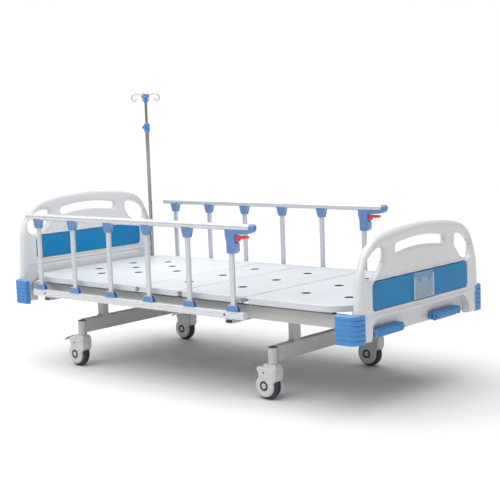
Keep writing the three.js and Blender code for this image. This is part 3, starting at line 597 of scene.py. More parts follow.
def end_board(name, node, end, raised):
    """A blow-moulded board: rolled tube-like rim, thinner web, window frame, lower pocket."""
    sizes = bpy.context.scene.bed_sizes
    x0, x1, _, _, foot, _ = sides_of(node)
    middle = (x0 + x1) / 2
    full = (x1 - x0) / 2
    base = foot + raised
    outline = board_outline(foot, raised)
    corners = (WINDOW["foot"],) * 2 + (WINDOW["corner"],) * 2
    window = spaced(rounded(-WINDOW["half"], WINDOW["half"], base + WINDOW["low"],
                            base + WINDOW["high"], corners, 6), 0.010)
    slots = [hand_slot(base), corner_hole(base, 1), corner_hole(base, -1)]
    pocket = spaced(rounded(-POCKET["half"], POCKET["half"], foot - 0.05, base + POCKET["top"],
                            (0.001, 0.001, POCKET["corner"], POCKET["corner"]), 8), 0.010)
    loops = [outline, window, *slots]
    tight = [inset(outline, 0.0012), inset(outline, 0.004)]
    loose = [inset(outline, depth) for depth in (0.0085, 0.015, 0.022)]
    for hole in (window, *slots):
        tight += [inset(hole[::-1], depth) for depth in (0.0006, 0.0025)]
    for slot in slots:
        loose += [inset(slot[::-1], depth) for depth in (0.006, 0.010)]
    loose += [inset(window[::-1], depth) for depth in (0.0062, 0.0094, 0.0125)]
    levels = [base + LIP_LINE + rise for rise in (-0.0052, -0.0012, 0.0012, 0.0052)]
    levels += [base + 0.242, base + 0.248, base + 0.254]
    loose += [pocket, inset(pocket, 0.004), inset(pocket, -0.003)]
    loose += [[(u, level) for u in np.linspace(-0.46, 0.46, 85)] for level in levels]
    points = board_points(loops, tight, loose, sizes.board_grid)
    edge, _ = distance_to(points, outline)
    frame_gap, _ = distance_to(points, window)
    hole_gap = np.min([distance_to(points, slot)[0] for slot in slots], axis=0)
    low_part = 1 - step_up(points[:, 1], base + 0.02, base + 0.10)
    radius = sizes.board_roll * (1 - low_part) + 0.006 * low_part
    share = roll_off(edge, radius) * roll_off(hole_gap, sizes.hole_roll) * roll_off(frame_gap, 0.003)
    low_web = 1 - step_up(points[:, 1], base + 0.242, base + 0.254)
    rim = np.maximum(1 - step_up(edge, 0.034, 0.060), 0.35 * low_web)
    thick = sizes.web + (full - 0.0016 - sizes.web) * rim
    ridge = 0.0030 * (1 - step_up(np.abs(frame_gap - 0.0062), 0.0008, 0.0042))
    across = np.abs(points[:, 0])
    lip = 0.0040 * (1 - step_up(np.abs(points[:, 1] - base - LIP_LINE), 0.0012, 0.0052))
    lip *= 1 - step_up(across, 0.448, 0.456)
    outer = np.minimum(thick + np.maximum(ridge, lip), full) * share
    inner = outer.copy()
    pocket_gap, in_pocket = distance_to(points, pocket)
    sunk = np.where(in_pocket, step_up(pocket_gap, 0.0, 0.004), 0.0)
    half_wall = POCKET["wall"] / 2
    rolled_wall = half_wall * roll_off(edge, 0.004)
    outer = outer * (1 - sunk) + (half_wall - full + rolled_wall) * sunk
    inner = inner * (1 - sunk) + (full - half_wall + rolled_wall) * sunk
    outer = np.maximum(outer, 0.001 - inner)
    hanging = (across < POCKET["half"] + 1e-6) & (points[:, 1] < base + POCKET["low"] + 0.001)
    rim_depth = np.where(hanging, half_wall - full, 0.0)
    return stitched(name, points, (loops, tight), middle, end, (outer, inner, rim_depth))


def board_points(loops, tight, loose, grid):
    """The points of the loops and tight rings, then of the loose rings, then a grid between."""
    outline, holes = loops[0], loops[1:]
    u0, u1 = min(p[0] for p in outline), max(p[0] for p in outline)
    v0, v1 = min(p[1] for p in outline), max(p[1] for p in outline)
    us = np.linspace(u0, u1, int((u1 - u0) / grid) + 1)
    field = np.array([(u, v) for v in np.arange(v0, v1, grid) for u in us])
    every = np.array([p for ring in (*loops, *tight) for p in ring])
    for added, apart in ((np.array([p for ring in loose for p in ring]), 0.0024), (field, 0.0052)):
        added = added[inside_board(added, outline, holes, 0.0045)]
        gap = np.concatenate([
            np.linalg.norm(part[:, None, :] - every[None, :, :], axis=2).min(1)
            for part in np.array_split(added, 40)
        ])
        every = np.concatenate([every, added[gap > apart]])
    return every


def inside_board(points, outline, holes, margin):
    gap, inside = distance_to(points, outline)
    keep = inside & (gap > margin)
    for hole in holes:
        gap, within = distance_to(points, hole)
        keep &= ~within & (gap > margin)
    return keep


def stitched(name, points, fixed, middle, end, depths):
    """Two skins over the same points, meeting along the loops at the rim's own depth."""
    outer, inner, rim_depth = depths
    loops, tight = fixed
    edges, start = [], 0
    for loop in (*loops, *tight):
        edges += [(start + i, start + (i + 1) % len(loop)) for i in range(len(loop))]
        start += len(loop)
    on_loop = sum(len(loop) for loop in loops)
    flat = [Vector((u, v)) for u, v in points]
    found, _, triangles, origins, _, _ = delaunay_2d_cdt(flat, edges, [], 0, 1e-7)
    where = np.array([(p.x, p.y) for p in found])
    source = [min(origin) if origin else -1 for origin in origins]
    centres = np.array([where[list(t)].mean(0) for t in triangles])
    keep = inside_board(centres, loops[0], loops[1:], -1.0)
    bm = bmesh.new()
    skins = []
    for sign, depth in ((1, outer), (-1, inner)):
        skin = []
        for i, (u, v) in enumerate(where):
            k = source[i]
            if sign < 0 and 0 <= k < on_loop:
                skin.append(skins[0][i])
                continue
            h = float(rim_depth[k]) if 0 <= k < on_loop else sign * float(depth[k])
            skin.append(bm.verts.new((middle + end * h, u, v)))
        skins.append(skin)
    for triangle, kept in zip(triangles, keep):
        if kept and not all(0 <= source[i] < on_loop for i in triangle):
            for skin in skins:
                bm.faces.new([skin[i] for i in triangle])
    bmesh.ops.delete(bm, geom=[v for v in bm.verts if not v.link_faces], context="VERTS")
    bmesh.ops.recalc_face_normals(bm, faces=bm.faces)
    for face in bm.faces:
        face.smooth = True
    mesh = bpy.data.meshes.new(name)
    bm.to_mesh(mesh)
    bm.free()
    return mesh


class BED_OT_end_boards(bpy.types.Operator):
    """Builds the moulded head and foot boards"""

    bl_idname = "bed.end_boards"
    bl_label = "End Boards"

    def execute(self, context):
        for end_name, end in ENDS.items():
            node = f"{end_name}board"
            *_, low, high = sides_of(node)
            raised = high - low - FOOTBOARD_HEIGHT
            mesh = end_board(f"{node}_moulding", node, end, raised)
            settle(f"{node}_moulding", mesh, [finish("board_white")], "root", [node], 60)
        return {"FINISHED"}


# ---- what repeats: trees of geometry nodes --------------------------------------------------
def socket_of(tree, name):
    """The identifier of a tree's named input."""
    return [s for s in tree.interface.items_tree if s.in_out == "INPUT" and s.name == name][0].identifier


def new_tree(name, inputs):
    """A tree with a Geometry input, the named inputs and a Geometry output."""
    tree = bpy.data.node_groups.new(name, "GeometryNodeTree")
    tree.interface.new_socket("Geometry", in_out="INPUT", socket_type="NodeSocketGeometry")
    for label, kind, default in inputs:
        made = tree.interface.new_socket(label, in_out="INPUT", socket_type=kind)
        if default is not None:
            made.default_value = default
    tree.interface.new_socket("Geometry", in_out="OUTPUT", socket_type="NodeSocketGeometry")
    return tree, tree.nodes.new("NodeGroupInput"), tree.nodes.new("NodeGroupOutput")


def times(tree, value, factor):
    """value x factor as a new socket."""
    node = tree.nodes.new("ShaderNodeMath")
    node.operation = "MULTIPLY"
    tree.links.new(value, node.inputs[0])
    node.inputs[1].default_value = factor
    return node.outputs[0]


def end_tree(tree, given, geometry, result):
    """Realize Instances and Set Material, then the output."""
    real = tree.nodes.new("GeometryNodeRealizeInstances")
    paint = tree.nodes.new("GeometryNodeSetMaterial")
    tree.links.new(geometry, real.inputs["Geometry"])
    tree.links.new(real.outputs["Geometry"], paint.inputs["Geometry"])
    tree.links.new(given.outputs["Finish"], paint.inputs["Material"])
    tree.links.new(paint.outputs["Geometry"], result.inputs["Geometry"])
    return tree


def raise_faces(tree, mesh, selection, height, scale):
    """Extrudes the selected faces by `height` and scales their top; returns mesh and top."""
    extrude = tree.nodes.new("GeometryNodeExtrudeMesh")
    tree.links.new(mesh, extrude.inputs["Mesh"])
    if selection is not None:
        tree.links.new(selection, extrude.inputs["Selection"])
    tree.links.new(height, extrude.inputs["Offset Scale"])
    resize = tree.nodes.new("GeometryNodeScaleElements")
    tree.links.new(extrude.outputs["Mesh"], resize.inputs["Geometry"])
    tree.links.new(extrude.outputs["Top"], resize.inputs["Selection"])
    resize.inputs["Scale"].default_value = scale
    return resize.outputs["Geometry"], extrude.outputs["Top"]


def head_tree():
    """Domed heads with a driver socket, one on each point, turned to its `facing`."""
    found = bpy.data.node_groups.get("Screw Heads")
    if found:
        return found
    tree, given, result = new_tree("Screw Heads", (
        ("Head Radius", "NodeSocketFloat", 0.005), ("Head Height", "NodeSocketFloat", 0.002),
        ("Sides", "NodeSocketInt", 18), ("Finish", "NodeSocketMaterial", None),
    ))
    disc = tree.nodes.new("GeometryNodeMeshCircle")
    disc.fill_type = "NGON"
    tree.links.new(given.outputs["Sides"], disc.inputs["Vertices"])
    tree.links.new(given.outputs["Head Radius"], disc.inputs["Radius"])
    height = given.outputs["Head Height"]
    mesh, top = raise_faces(tree, disc.outputs["Mesh"], None, times(tree, height, 0.55), 1.0)
    for share, scale in ((0.30, 0.86), (0.15, 0.78), (0.0, 0.62), (-0.55, 0.92)):
        mesh, top = raise_faces(tree, mesh, top, times(tree, height, share), scale)
    facing = tree.nodes.new("GeometryNodeInputNamedAttribute")
    facing.data_type = "FLOAT_VECTOR"
    facing.inputs["Name"].default_value = "facing"
    turn = tree.nodes.new("FunctionNodeAlignRotationToVector")
    turn.axis = "Z"
    tree.links.new(facing.outputs["Attribute"], turn.inputs["Vector"])
    copies = tree.nodes.new("GeometryNodeInstanceOnPoints")
    tree.links.new(given.outputs["Geometry"], copies.inputs["Points"])
    tree.links.new(mesh, copies.inputs["Instance"])
    tree.links.new(turn.outputs["Rotation"], copies.inputs["Rotation"])
    return end_tree(tree, given, copies.outputs["Instances"], result)


def bead_tree():
    """A weld bead: overlapping flattened drops along each edge path."""
    found = bpy.data.node_groups.get("Weld Bead")
    if found:
        return found
    tree, given, result = new_tree("Weld Bead", (
        ("Drop Radius", "NodeSocketFloat", 0.0028), ("Spacing", "NodeSocketFloat", 0.003),
        ("Finish", "NodeSocketMaterial", None),
    ))
    path = tree.nodes.new("GeometryNodeMeshToCurve")
    points = tree.nodes.new("GeometryNodeCurveToPoints")
    points.mode = "LENGTH"
    drop = tree.nodes.new("GeometryNodeMeshIcoSphere")
    drop.inputs["Subdivisions"].default_value = 2
    copies = tree.nodes.new("GeometryNodeInstanceOnPoints")
    tree.links.new(given.outputs["Geometry"], path.inputs["Mesh"])
    tree.links.new(path.outputs["Curve"], points.inputs["Curve"])
    tree.links.new(given.outputs["Spacing"], points.inputs["Length"])
    tree.links.new(given.outputs["Drop Radius"], drop.inputs["Radius"])
    tree.links.new(points.outputs["Points"], copies.inputs["Points"])
    tree.links.new(drop.outputs["Mesh"], copies.inputs["Instance"])
    return end_tree(tree, given, copies.outputs["Instances"], result)


def knurl_tree():
    """Short round ribs laid side by side on the surface of a drum, on one ring of points."""
    found = bpy.data.node_groups.get("Knurls")
    if found:
        return found
    tree, given, result = new_tree("Knurls", (
        ("Rib Radius", "NodeSocketFloat", 0.0012), ("Rib Length", "NodeSocketFloat", 0.01),
        ("Finish", "NodeSocketMaterial", None),
    ))
    rib = tree.nodes.new("GeometryNodeMeshCylinder")
    rib.inputs["Vertices"].default_value = 8
    tree.links.new(given.outputs["Rib Radius"], rib.inputs["Radius"])
    tree.links.new(given.outputs["Rib Length"], rib.inputs["Depth"])
    facing = tree.nodes.new("GeometryNodeInputNamedAttribute")
    facing.data_type = "FLOAT_VECTOR"
    facing.inputs["Name"].default_value = "facing"
    turn = tree.nodes.new("FunctionNodeAlignRotationToVector")
    turn.axis = "Z"
    tree.links.new(facing.outputs["Attribute"], turn.inputs["Vector"])
    copies = tree.nodes.new("GeometryNodeInstanceOnPoints")
    tree.links.new(given.outputs["Geometry"], copies.inputs["Points"])
    tree.links.new(rib.outputs["Mesh"], copies.inputs["Instance"])
    tree.links.new(turn.outputs["Rotation"], copies.inputs["Rotation"])
    return end_tree(tree, given, copies.outputs["Instances"], result)


def grown(name, tree, points, edges, values, finish_name, body, facing=None):
    """Runs a tree over points or paths and turns what it makes into one plain mesh."""
    seed = bpy.data.meshes.new(name + "_seed")
    seed.from_pydata([tuple(p) for p in points], edges, [])
    if facing:
        attribute = seed.attributes.new("facing", "FLOAT_VECTOR", "POINT")
        attribute.data.foreach_set("vector", [c for f in facing for c in f])
    holder = bpy.data.objects.new(name + "_seed", seed)
    bpy.context.scene.collection.objects.link(holder)
    modifier = holder.modifiers.new(tree.name, "NODES")
    modifier.node_group = tree
    for label, value in {**values, "Finish": finish(finish_name)}.items():
        modifier[socket_of(tree, label)] = value
    ready = holder.evaluated_get(bpy.context.evaluated_depsgraph_get())
    mesh = bpy.data.meshes.new_from_object(ready)
    mesh.name = name
    bpy.data.objects.remove(holder)
    bpy.data.meshes.remove(seed)
    bm = bmesh.new()
    bm.from_mesh(mesh)
    holes = [edge for edge in bm.edges if edge.is_boundary]
    if holes:
        bmesh.ops.holes_fill(bm, edges=holes)
    bmesh.ops.recalc_face_normals(bm, faces=bm.faces)
    for face in bm.faces:
        face.smooth = True
    bm.to_mesh(mesh)
    bm.free()
    if not mesh.polygons:
        raise RuntimeError(f"{name}: the tree made no faces")
    mesh.materials.clear()
    return settle(name, mesh, [finish(finish_name)], body, ())


def screws(name, spots, radius, height, finish_name, body, sides=18):
    """Screw heads at (point, direction) spots."""
    values = {"Head Radius": radius, "Head Height": height, "Sides": sides}
    return grown(name, head_tree(), [s[0] for s in spots], [], values, finish_name, body,
                 [s[1] for s in spots])


# ---- welded frames --------------------------------------------------------------------------
BEAM = {"inner": 0.384, "outer": 0.414, "low": 0.352, "high": 0.410, "end": 1.022, "wall": 0.0025}
CROSS = ((-1.021, -0.992, 0.353), (0.992, 1.021, 0.353), (-0.708, -0.668, 0.353),
         (0.540, 0.580, 0.353), (-0.160, -0.130, 0.380), (0.026, 0.056, 0.380))
LEG_X = {"head": -0.688, "foot": 0.560}
LEG = {"half": 0.020, "low": 0.170, "high": 0.237, "reach": 0.370, "post": 0.238}
SOCKET = {"radius": 0.0215, "low": 0.158, "high": 0.230, "y": 0.382, "bore": 0.0115}
HOOD_FRONT = 0.033
CRANK_Y = {"back": -0.158, "knee": 0.097}
CRANK_Z = 0.336
POLE = (-0.985, 0.412)
PLATE_X = ((0.994, 1.000), (0.572, 0.578))


class BED_OT_tube_frames(bpy.types.Operator):
    """Builds the welded bed frame and the two leg frames"""

    bl_idname = "bed.tube_frames"
    bl_label = "Tube Frames"

    def execute(self, context):
        bed_frame(context.scene.bed_sizes.tube_corner)
        for end_name in ENDS:
            leg_frame(end_name, context.scene.bed_sizes.tube_corner)
        weld_beads(context.scene.bed_sizes.bead)
        deck_buffers()
        return {"FINISHED"}


def bed_frame(corner):
    piece = Piece("bed_frame_tubes")
    low, high, end = BEAM["low"], BEAM["high"], BEAM["end"]
    for side in SIDES.values():
        y0, y1 = sorted((side * BEAM["inner"], side * BEAM["outer"]))
        piece.tube("frame_paint", "x", (y0, y1, low, high, -end, end), corner, BEAM["wall"])
        for tip in ENDS.values():
            x0, x1 = sorted((tip * (end - 0.012), tip * (end + 0.0016)))
            piece.block("black_plastic", (x0, y0 + 0.0026, low + 0.0026),
                        (x1, y1 - 0.0026, high - 0.0026), 0.001, "x", 0.003)
            for hand in (-1, 1):
                a, b = sorted((tip * (end - 0.001), tip * (end + 0.0055)))
                c, d = sorted((hand * 0.330, hand * 0.380))
                piece.block("frame_paint", (a, c, 0.358), (b, d, 0.404), 0.001, "x", 0.006)
    for x0, x1, z0 in CROSS:
        wide = BEAM["inner"] + 0.001
        piece.tube("frame_paint", "y", (x0, x1, z0, high - 0.001, -wide, wide), corner, BEAM["wall"])
    piece.pipe("frame_paint", "z", *POLE, 0.0155, 0.0109, 0.344, 0.418, 0.001)
    for y in CRANK_Y.values():
        for x0, x1 in PLATE_X:
            loop = rounded(y - 0.018, y + 0.018, 0.320, 0.354, (0.014, 0.014, 0.002, 0.002), 5)
            piece.slab("frame_paint", "x", [loop, circle(y, CRANK_Z, 0.0094)[::-1]],
                       rolled(x0, x1, 0.0008, 2))
    piece.finish("root", "frame_paint", "bed_frame")


def leg_frame(end_name, corner):
    """A cross beam, two posts up to the bed frame, and a plugged caster socket at each end."""
    node = f"{end_name}_leg_frame"
    x = LEG_X[end_name]
    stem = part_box(f"{end_name}_near_caster_hood")[1].x - HOOD_FRONT
    half = LEG["half"]
    piece = Piece(node + "_tubes")
    beam = (x - half, x + half, LEG["low"], LEG["high"], -LEG["reach"], LEG["reach"])
    piece.tube("frame_paint", "y", beam, corner, BEAM["wall"])
    for side in SIDES.values():
        y0, y1 = sorted((side * (LEG["reach"] - 0.004), side * (LEG["reach"] + 0.0004)))
        piece.block("frame_paint", (x - half + 0.0012, y0, LEG["low"] + 0.0012),
                    (x + half - 0.0012, y1, LEG["high"] - 0.0012), 0.0006, "y", 0.003)
    for side in SIDES.values():
        y = side * LEG["post"]
        piece.tube("frame_paint", "z", (x - half, x + half, y - half, y + half, LEG["high"] - 0.001,
                   BEAM["low"] - 0.0003), corner, BEAM["wall"])
        y = side * SOCKET["y"]
        piece.pipe("frame_paint", "z", stem, y, SOCKET["radius"], SOCKET["bore"], SOCKET["low"],
                   SOCKET["high"], 0.0012, 40)
        top = SOCKET["high"]
        piece.turned("black_plastic", "z", (stem, y, 0), (
            (0, top - 0.006), (0.0113, top - 0.006), (0.0113, top - 0.0005), (0.0217, top - 0.0002),
            (0.0222, top + 0.0008), (0.0218, top + 0.0022), (0.0185, top + 0.0034), (0.010, top + 0.0040),
            (0, top + 0.0041)), 40)
    piece.finish("root", "frame_paint", node)


def square_path(points, edges, corners):
    """Adds a closed path through the corners."""
    start = len(points)
    points += corners
    edges += [(start + i, start + (i + 1) % len(corners)) for i in range(len(corners))]


def weld_beads(radius):
    """A bead round the foot and head of each leg post, and down each side of the cross tubes."""
    points, edges = [], []
    for x in LEG_X.values():
        for side in SIDES.values():
            y, h = side * LEG["post"], LEG["half"]
            for z, lift in ((LEG["high"], 0.0004), (BEAM["low"], 0.0004)):
                square_path(points, edges, [(x - h, y - h, z + lift), (x + h, y - h, z + lift),
                                            (x + h, y + h, z + lift), (x - h, y + h, z + lift)])
    for x0, x1, z0 in CROSS:
        for side in SIDES.values():
            y = side * BEAM["inner"]
            for x in (x0, x1):
                start = len(points)
                points += [(x, y, z0 + 0.004), (x, y, BEAM["high"] - 0.005)]
                edges.append((start, start + 1))
    grown("frame_welds", bead_tree(), points, edges,
          {"Drop Radius": radius, "Spacing": radius * 1.15}, "frame_paint", "root")


def deck_buffers():
    """Rubber rests between the side tubes and the deck panels."""
    piece = Piece("deck_buffers")
    for side in SIDES.values():
        for x in (-0.90, -0.52, -0.07, 0.02, 0.40, 0.90):
            y = side * 0.400
            piece.turned("black_plastic", "z", (x, y, 0), (
                (0, 0.4095), (0.010, 0.4095), (0.010, 0.4125), (0.008, 0.4205), (0.0065, 0.4222),
                (0, 0.4225)), 20)
    piece.finish("root", "tyre_dark")


# ---- deck panels ----------------------------------------------------------------------------
DECK = {"half": 0.455, "top": 0.451, "sheet": 0.0025, "lip": 0.028, "corner": 0.150, "vent": 0.022}
SEAMS = {"back": -0.196, "seat": 0.080, "knee": 0.465}
VENT_ROW = (-0.237, 0.0, 0.237)
KNUCKLE = {"rows": (-0.300, 0.300), "apart": 0.029, "half": 0.014, "drop": 0.004, "radius": 0.0036}
PANELS = {
    "back": {"body": "back_section", "round": -1, "back": (0, 0.009),
             "vents": [(-0.835, -0.122), (-0.835, 0.122), (-0.686, -0.237), (-0.686, 0.0),
                       (-0.686, 0.237), (-0.538, -0.122), (-0.538, 0.122), (-0.387, 0.0)],
             "ribs": (-0.530, -0.425, 0.160, 0.4193)},
    "seat": {"body": "root", "round": 0, "back": (0.009, 0.009), "vents": [(-0.070, y) for y in VENT_ROW],
             "ribs": (-0.165, 0.050, 0.320, 0.4093)},
    "thigh": {"body": "thigh_section", "round": 0, "back": (0.009, 0.017),
              "vents": [(0.267, y) for y in VENT_ROW], "ribs": (0.270, 0.370, 0.160, 0.4193)},
    "leg": {"body": "leg_section", "round": 1, "back": (0.017, 0),
            "vents": [(x, y) for x in (0.630, 0.860) for y in VENT_ROW],
            "ribs": (0.500, 0.985, 0.160, 0.423)},
}


def folded_sheet(top, sheet, bend_radius, fold):
    """(inset, height) steps for a sheet whose edge is turned down by `fold`."""
    turn = [math.pi / 2 * i / 4 for i in range(5)]
    inner = max(0.0008, bend_radius - sheet)
    under = [(bend_radius - inner * math.sin(t), top - bend_radius + inner * math.cos(t)) for t in turn]
    over = [(bend_radius * (1 - math.cos(t)), top - bend_radius * (1 - math.sin(t))) for t in turn]
    return under + [(bend_radius - inner, top - fold), (0.0, top - fold)] + over


class BED_OT_deck(bpy.types.Operator):
    """Builds the four pressed deck panels with their vents, lips, channels and hinges"""

    bl_idname = "bed.deck"
    bl_label = "Deck Panels"

    def execute(self, context):
        for name, plan in PANELS.items():
            deck_panel(name, plan, context.scene.bed_sizes.sheet_bend)
        return {"FINISHED"}


def deck_panel(name, plan, bend_radius):
    node = f"{name}_panel"
    half, top, sheet = DECK["half"], DECK["top"], DECK["sheet"]
    low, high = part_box(node)
    seams = [low.x - 0.0035, *SEAMS.values(), high.x + 0.0035]
    index = list(PANELS).index(name)
    x0, x1 = seams[index] + 0.0035, seams[index + 1] - 0.0035
    big, small = DECK["corner"], 0.004
    a, b = (big if plan["round"] < 0 else small), (big if plan["round"] > 0 else small)
    outline = rounded(x0, x1, -half, half, (a, b, b, a), 14)
    piece = Piece(f"{name}_deck_sheet")
    vents = [circle(x, y, DECK["vent"], 36)[::-1] for x, y in plan["vents"]]
    piece.slab("deck_paint", "z", [outline, *vents], folded_sheet(top, sheet, bend_radius, 0.0060))
    lx0, lx1 = x0 + plan["back"][0], x1 - plan["back"][1]
    wall = inset(rounded(lx0, lx1, -half, half, (a, b, b, a), 14), 0.0003)
    lip = rolled(top - DECK["lip"], top - 0.0045, 0.0008, 2)
    if name == "back":
        for part in notched(wall, inset(wall, sheet)):
            piece.slab("deck_paint", "z", [part], lip)
    else:
        piece.slab("deck_paint", "z", [wall, inset(wall, sheet)[::-1]], lip)
    r0, r1, row, bottom = plan["ribs"]
    for y in (-row, row):
        piece.block("deck_paint", (r0, y - 0.015, bottom), (r1, y + 0.015, top - sheet + 0.0004), 0.002)
    deck_knuckles(piece, name)
    piece.finish(plan["body"], "deck_paint", node)
    # Painted shade: a dark lining in each vent hole.
    vent_painted_shade(f"{name}_vent_linings", plan)


def notched(outside, inside):
    """The back panel's lip in two parts, with a gap in its +X side for each lift arm."""
    near, far = LEVER["rows"] - 0.011, LEVER["rows"] + 0.011
    half = len(outside) // 2
    x1, x0 = max(p[0] for p in outside), max(p[0] for p in inside)
    outer = outside[half:] + outside[:half]
    inner = inside[half:] + inside[:half]
    around = [(x1, far), *outer, (x1, -far), (x0, -far), *inner[::-1], (x0, far)]
    return around, [(x0, -near), (x1, -near), (x1, near), (x0, near)]


def vent_shade_tree():
    """A dark lining and its rounded rim, swept round a circle at each point: painted shade that darkens
    each vent hole.
    """
    found = bpy.data.node_groups.get("Vent Linings")
    if found:
        return found
    tree, given, result = new_tree("Vent Linings", (
        ("Vent Radius", "NodeSocketFloat", 0.02), ("Rim Radius", "NodeSocketFloat", 0.001),
        ("Depth", "NodeSocketFloat", 6.0), ("Finish", "NodeSocketMaterial", None),
    ))
    path = tree.nodes.new("GeometryNodeCurvePrimitiveCircle")
    path.inputs["Resolution"].default_value = 32
    rim = tree.nodes.new("GeometryNodeCurvePrimitiveCircle")
    rim.inputs["Resolution"].default_value = 10
    tree.links.new(given.outputs["Vent Radius"], path.inputs["Radius"])
    tree.links.new(given.outputs["Rim Radius"], rim.inputs["Radius"])
    tall = tree.nodes.new("GeometryNodeTransform")
    size = tree.nodes.new("ShaderNodeCombineXYZ")
    size.inputs["X"].default_value = 1.0
    size.inputs["Z"].default_value = 1.0
    tree.links.new(given.outputs["Depth"], size.inputs["Y"])
    tree.links.new(size.outputs["Vector"], tall.inputs["Scale"])
    tree.links.new(rim.outputs["Curve"], tall.inputs["Geometry"])
    sweep = tree.nodes.new("GeometryNodeCurveToMesh")
    tree.links.new(path.outputs["Curve"], sweep.inputs["Curve"])
    tree.links.new(tall.outputs["Geometry"], sweep.inputs["Profile Curve"])
    copies = tree.nodes.new("GeometryNodeInstanceOnPoints")
    tree.links.new(given.outputs["Geometry"], copies.inputs["Points"])
    tree.links.new(sweep.outputs["Mesh"], copies.inputs["Instance"])
    return end_tree(tree, given, copies.outputs["Instances"], result)


def vent_painted_shade(name, plan):
    """The dark lining in each vent, painted shade for the shadow in the hole's depth; its rim stands level
    with the deck.
    """
    rim, deep = bpy.context.scene.bed_sizes.vent_shade_rim, 5.5
    middle = DECK["top"] - 0.0002 - rim * deep
    points = [(x, y, middle) for x, y in plan["vents"]]
    values = {"Vent Radius": DECK["vent"] - rim, "Rim Radius": rim, "Depth": deep}
    # The black finish here is painted shade inside the vents, not a real part.
    grown(name, vent_shade_tree(), points, [], values, "black_plastic", plan["body"])


def deck_knuckles(piece, name):
    """Hinge barrels with their leaves: the inner row on one panel, the outer on its neighbour."""
    z = DECK["top"] - KNUCKLE["drop"]
    rows = {
        "back": ((SEAMS["back"], -1, (0,)),),
        "seat": ((SEAMS["back"], 1, (-1, 1)), (SEAMS["seat"], -1, (-1, 1))),
        "thigh": ((SEAMS["seat"], 1, (0,)), (SEAMS["knee"], -1, (-1, 1))),
        "leg": ((SEAMS["knee"], 1, (0,)),),
    }[name]
    for seam, side, offsets in rows:
        for row in KNUCKLE["rows"]:
            for offset in offsets:
                y = row + offset * KNUCKLE["apart"]
                half = KNUCKLE["half"]
                piece.bar("zinc", "y", seam, z, KNUCKLE["radius"], y - half, y + half, 0.0006, 18)
                u0, u1 = sorted((seam + side * 0.001, seam + side * 0.016))
                piece.block("zinc", (u0, y - half, z - 0.0032), (u1, y + half, z - 0.0012), 0.0006)


# ---- windows of the end boards ---------------------------------------------------------------
class BED_OT_inserts(bpy.types.Operator):
    """Builds the blue sheets in the end boards and the clear card holder"""

    bl_idname = "bed.inserts"
    bl_label = "Inserts"

    def execute(self, context):
        for end_name in ENDS:
            node = f"{end_name}board_insert"
            x0, x1, y0, y1, z0, z1 = sides_of(node)
            piece = Piece(node + "_sheet")
            loop = rounded(y0, y1, z0, z1, (0.018, 0.018, 0.026, 0.026), 8)
            piece.slab("insert_blue", "x", [loop], rolled(x0, x1, 0.0015))
            piece.finish("root", "insert_blue", node)
        card_holder()
        return {"FINISHED"}


def card_holder():
    """Back plate, scalloped front plate and rolled side walls, all clear."""
    x0, x1, y0, y1, z0, z1 = sides_of("card_holder")
    piece = Piece("card_holder_pocket")
    piece.slab("clear_plastic", "x", [rounded(y0, y1, z0, z1, 0.004)], rolled(x0, x0 + 0.0014, 0.0004, 2))
    middle, low_edge, high_edge = (y0 + y1) / 2, z0 + 0.058, z1 - 0.014
    front = [(y0, z0), (y1, z0), (y1, high_edge), (y1 - 0.012, high_edge)]
    front += bend([(y1 - 0.016, high_edge), (y1 - 0.024, low_edge), (middle + 0.030, low_edge),
                   (middle + 0.014, high_edge)], 12)
    front += bend([(middle - 0.014, high_edge), (middle - 0.030, low_edge), (y0 + 0.024, low_edge),
                   (y0 + 0.016, high_edge)], 12)
    front += [(y0 + 0.012, high_edge), (y0, high_edge)]
    piece.slab("clear_plastic", "x", [front], rolled(x1 - 0.0018, x1, 0.0004, 2))
    for y in (y0, y1 - 0.003):
        piece.block("clear_edge", (x0 + 0.001, y, z0), (x1, y + 0.003, high_edge), 0.0006)
    piece.block("clear_edge", (x0 + 0.001, y0, z0), (x1, y1, z0 + 0.003), 0.0006)
    piece.finish("root", "clear_plastic", "card_holder")


# ---- corner bumpers --------------------------------------------------------------------------
BUMPER = {"flank": 0.474, "leg_side": 0.4643, "edge": 0.425, "corner": 0.038, "ribs": 6, "groove": 0.0026}


class BED_OT_bumpers(bpy.types.Operator):
    """Builds the ribbed corner bumpers"""

    bl_idname = "bed.bumpers"
    bl_label = "Bumpers"

    def execute(self, context):
        for end_name, end in ENDS.items():
            for side_name, side in SIDES.items():
                bumper(f"{end_name}_{side_name}_bumper", end, side)
        return {"FINISHED"}


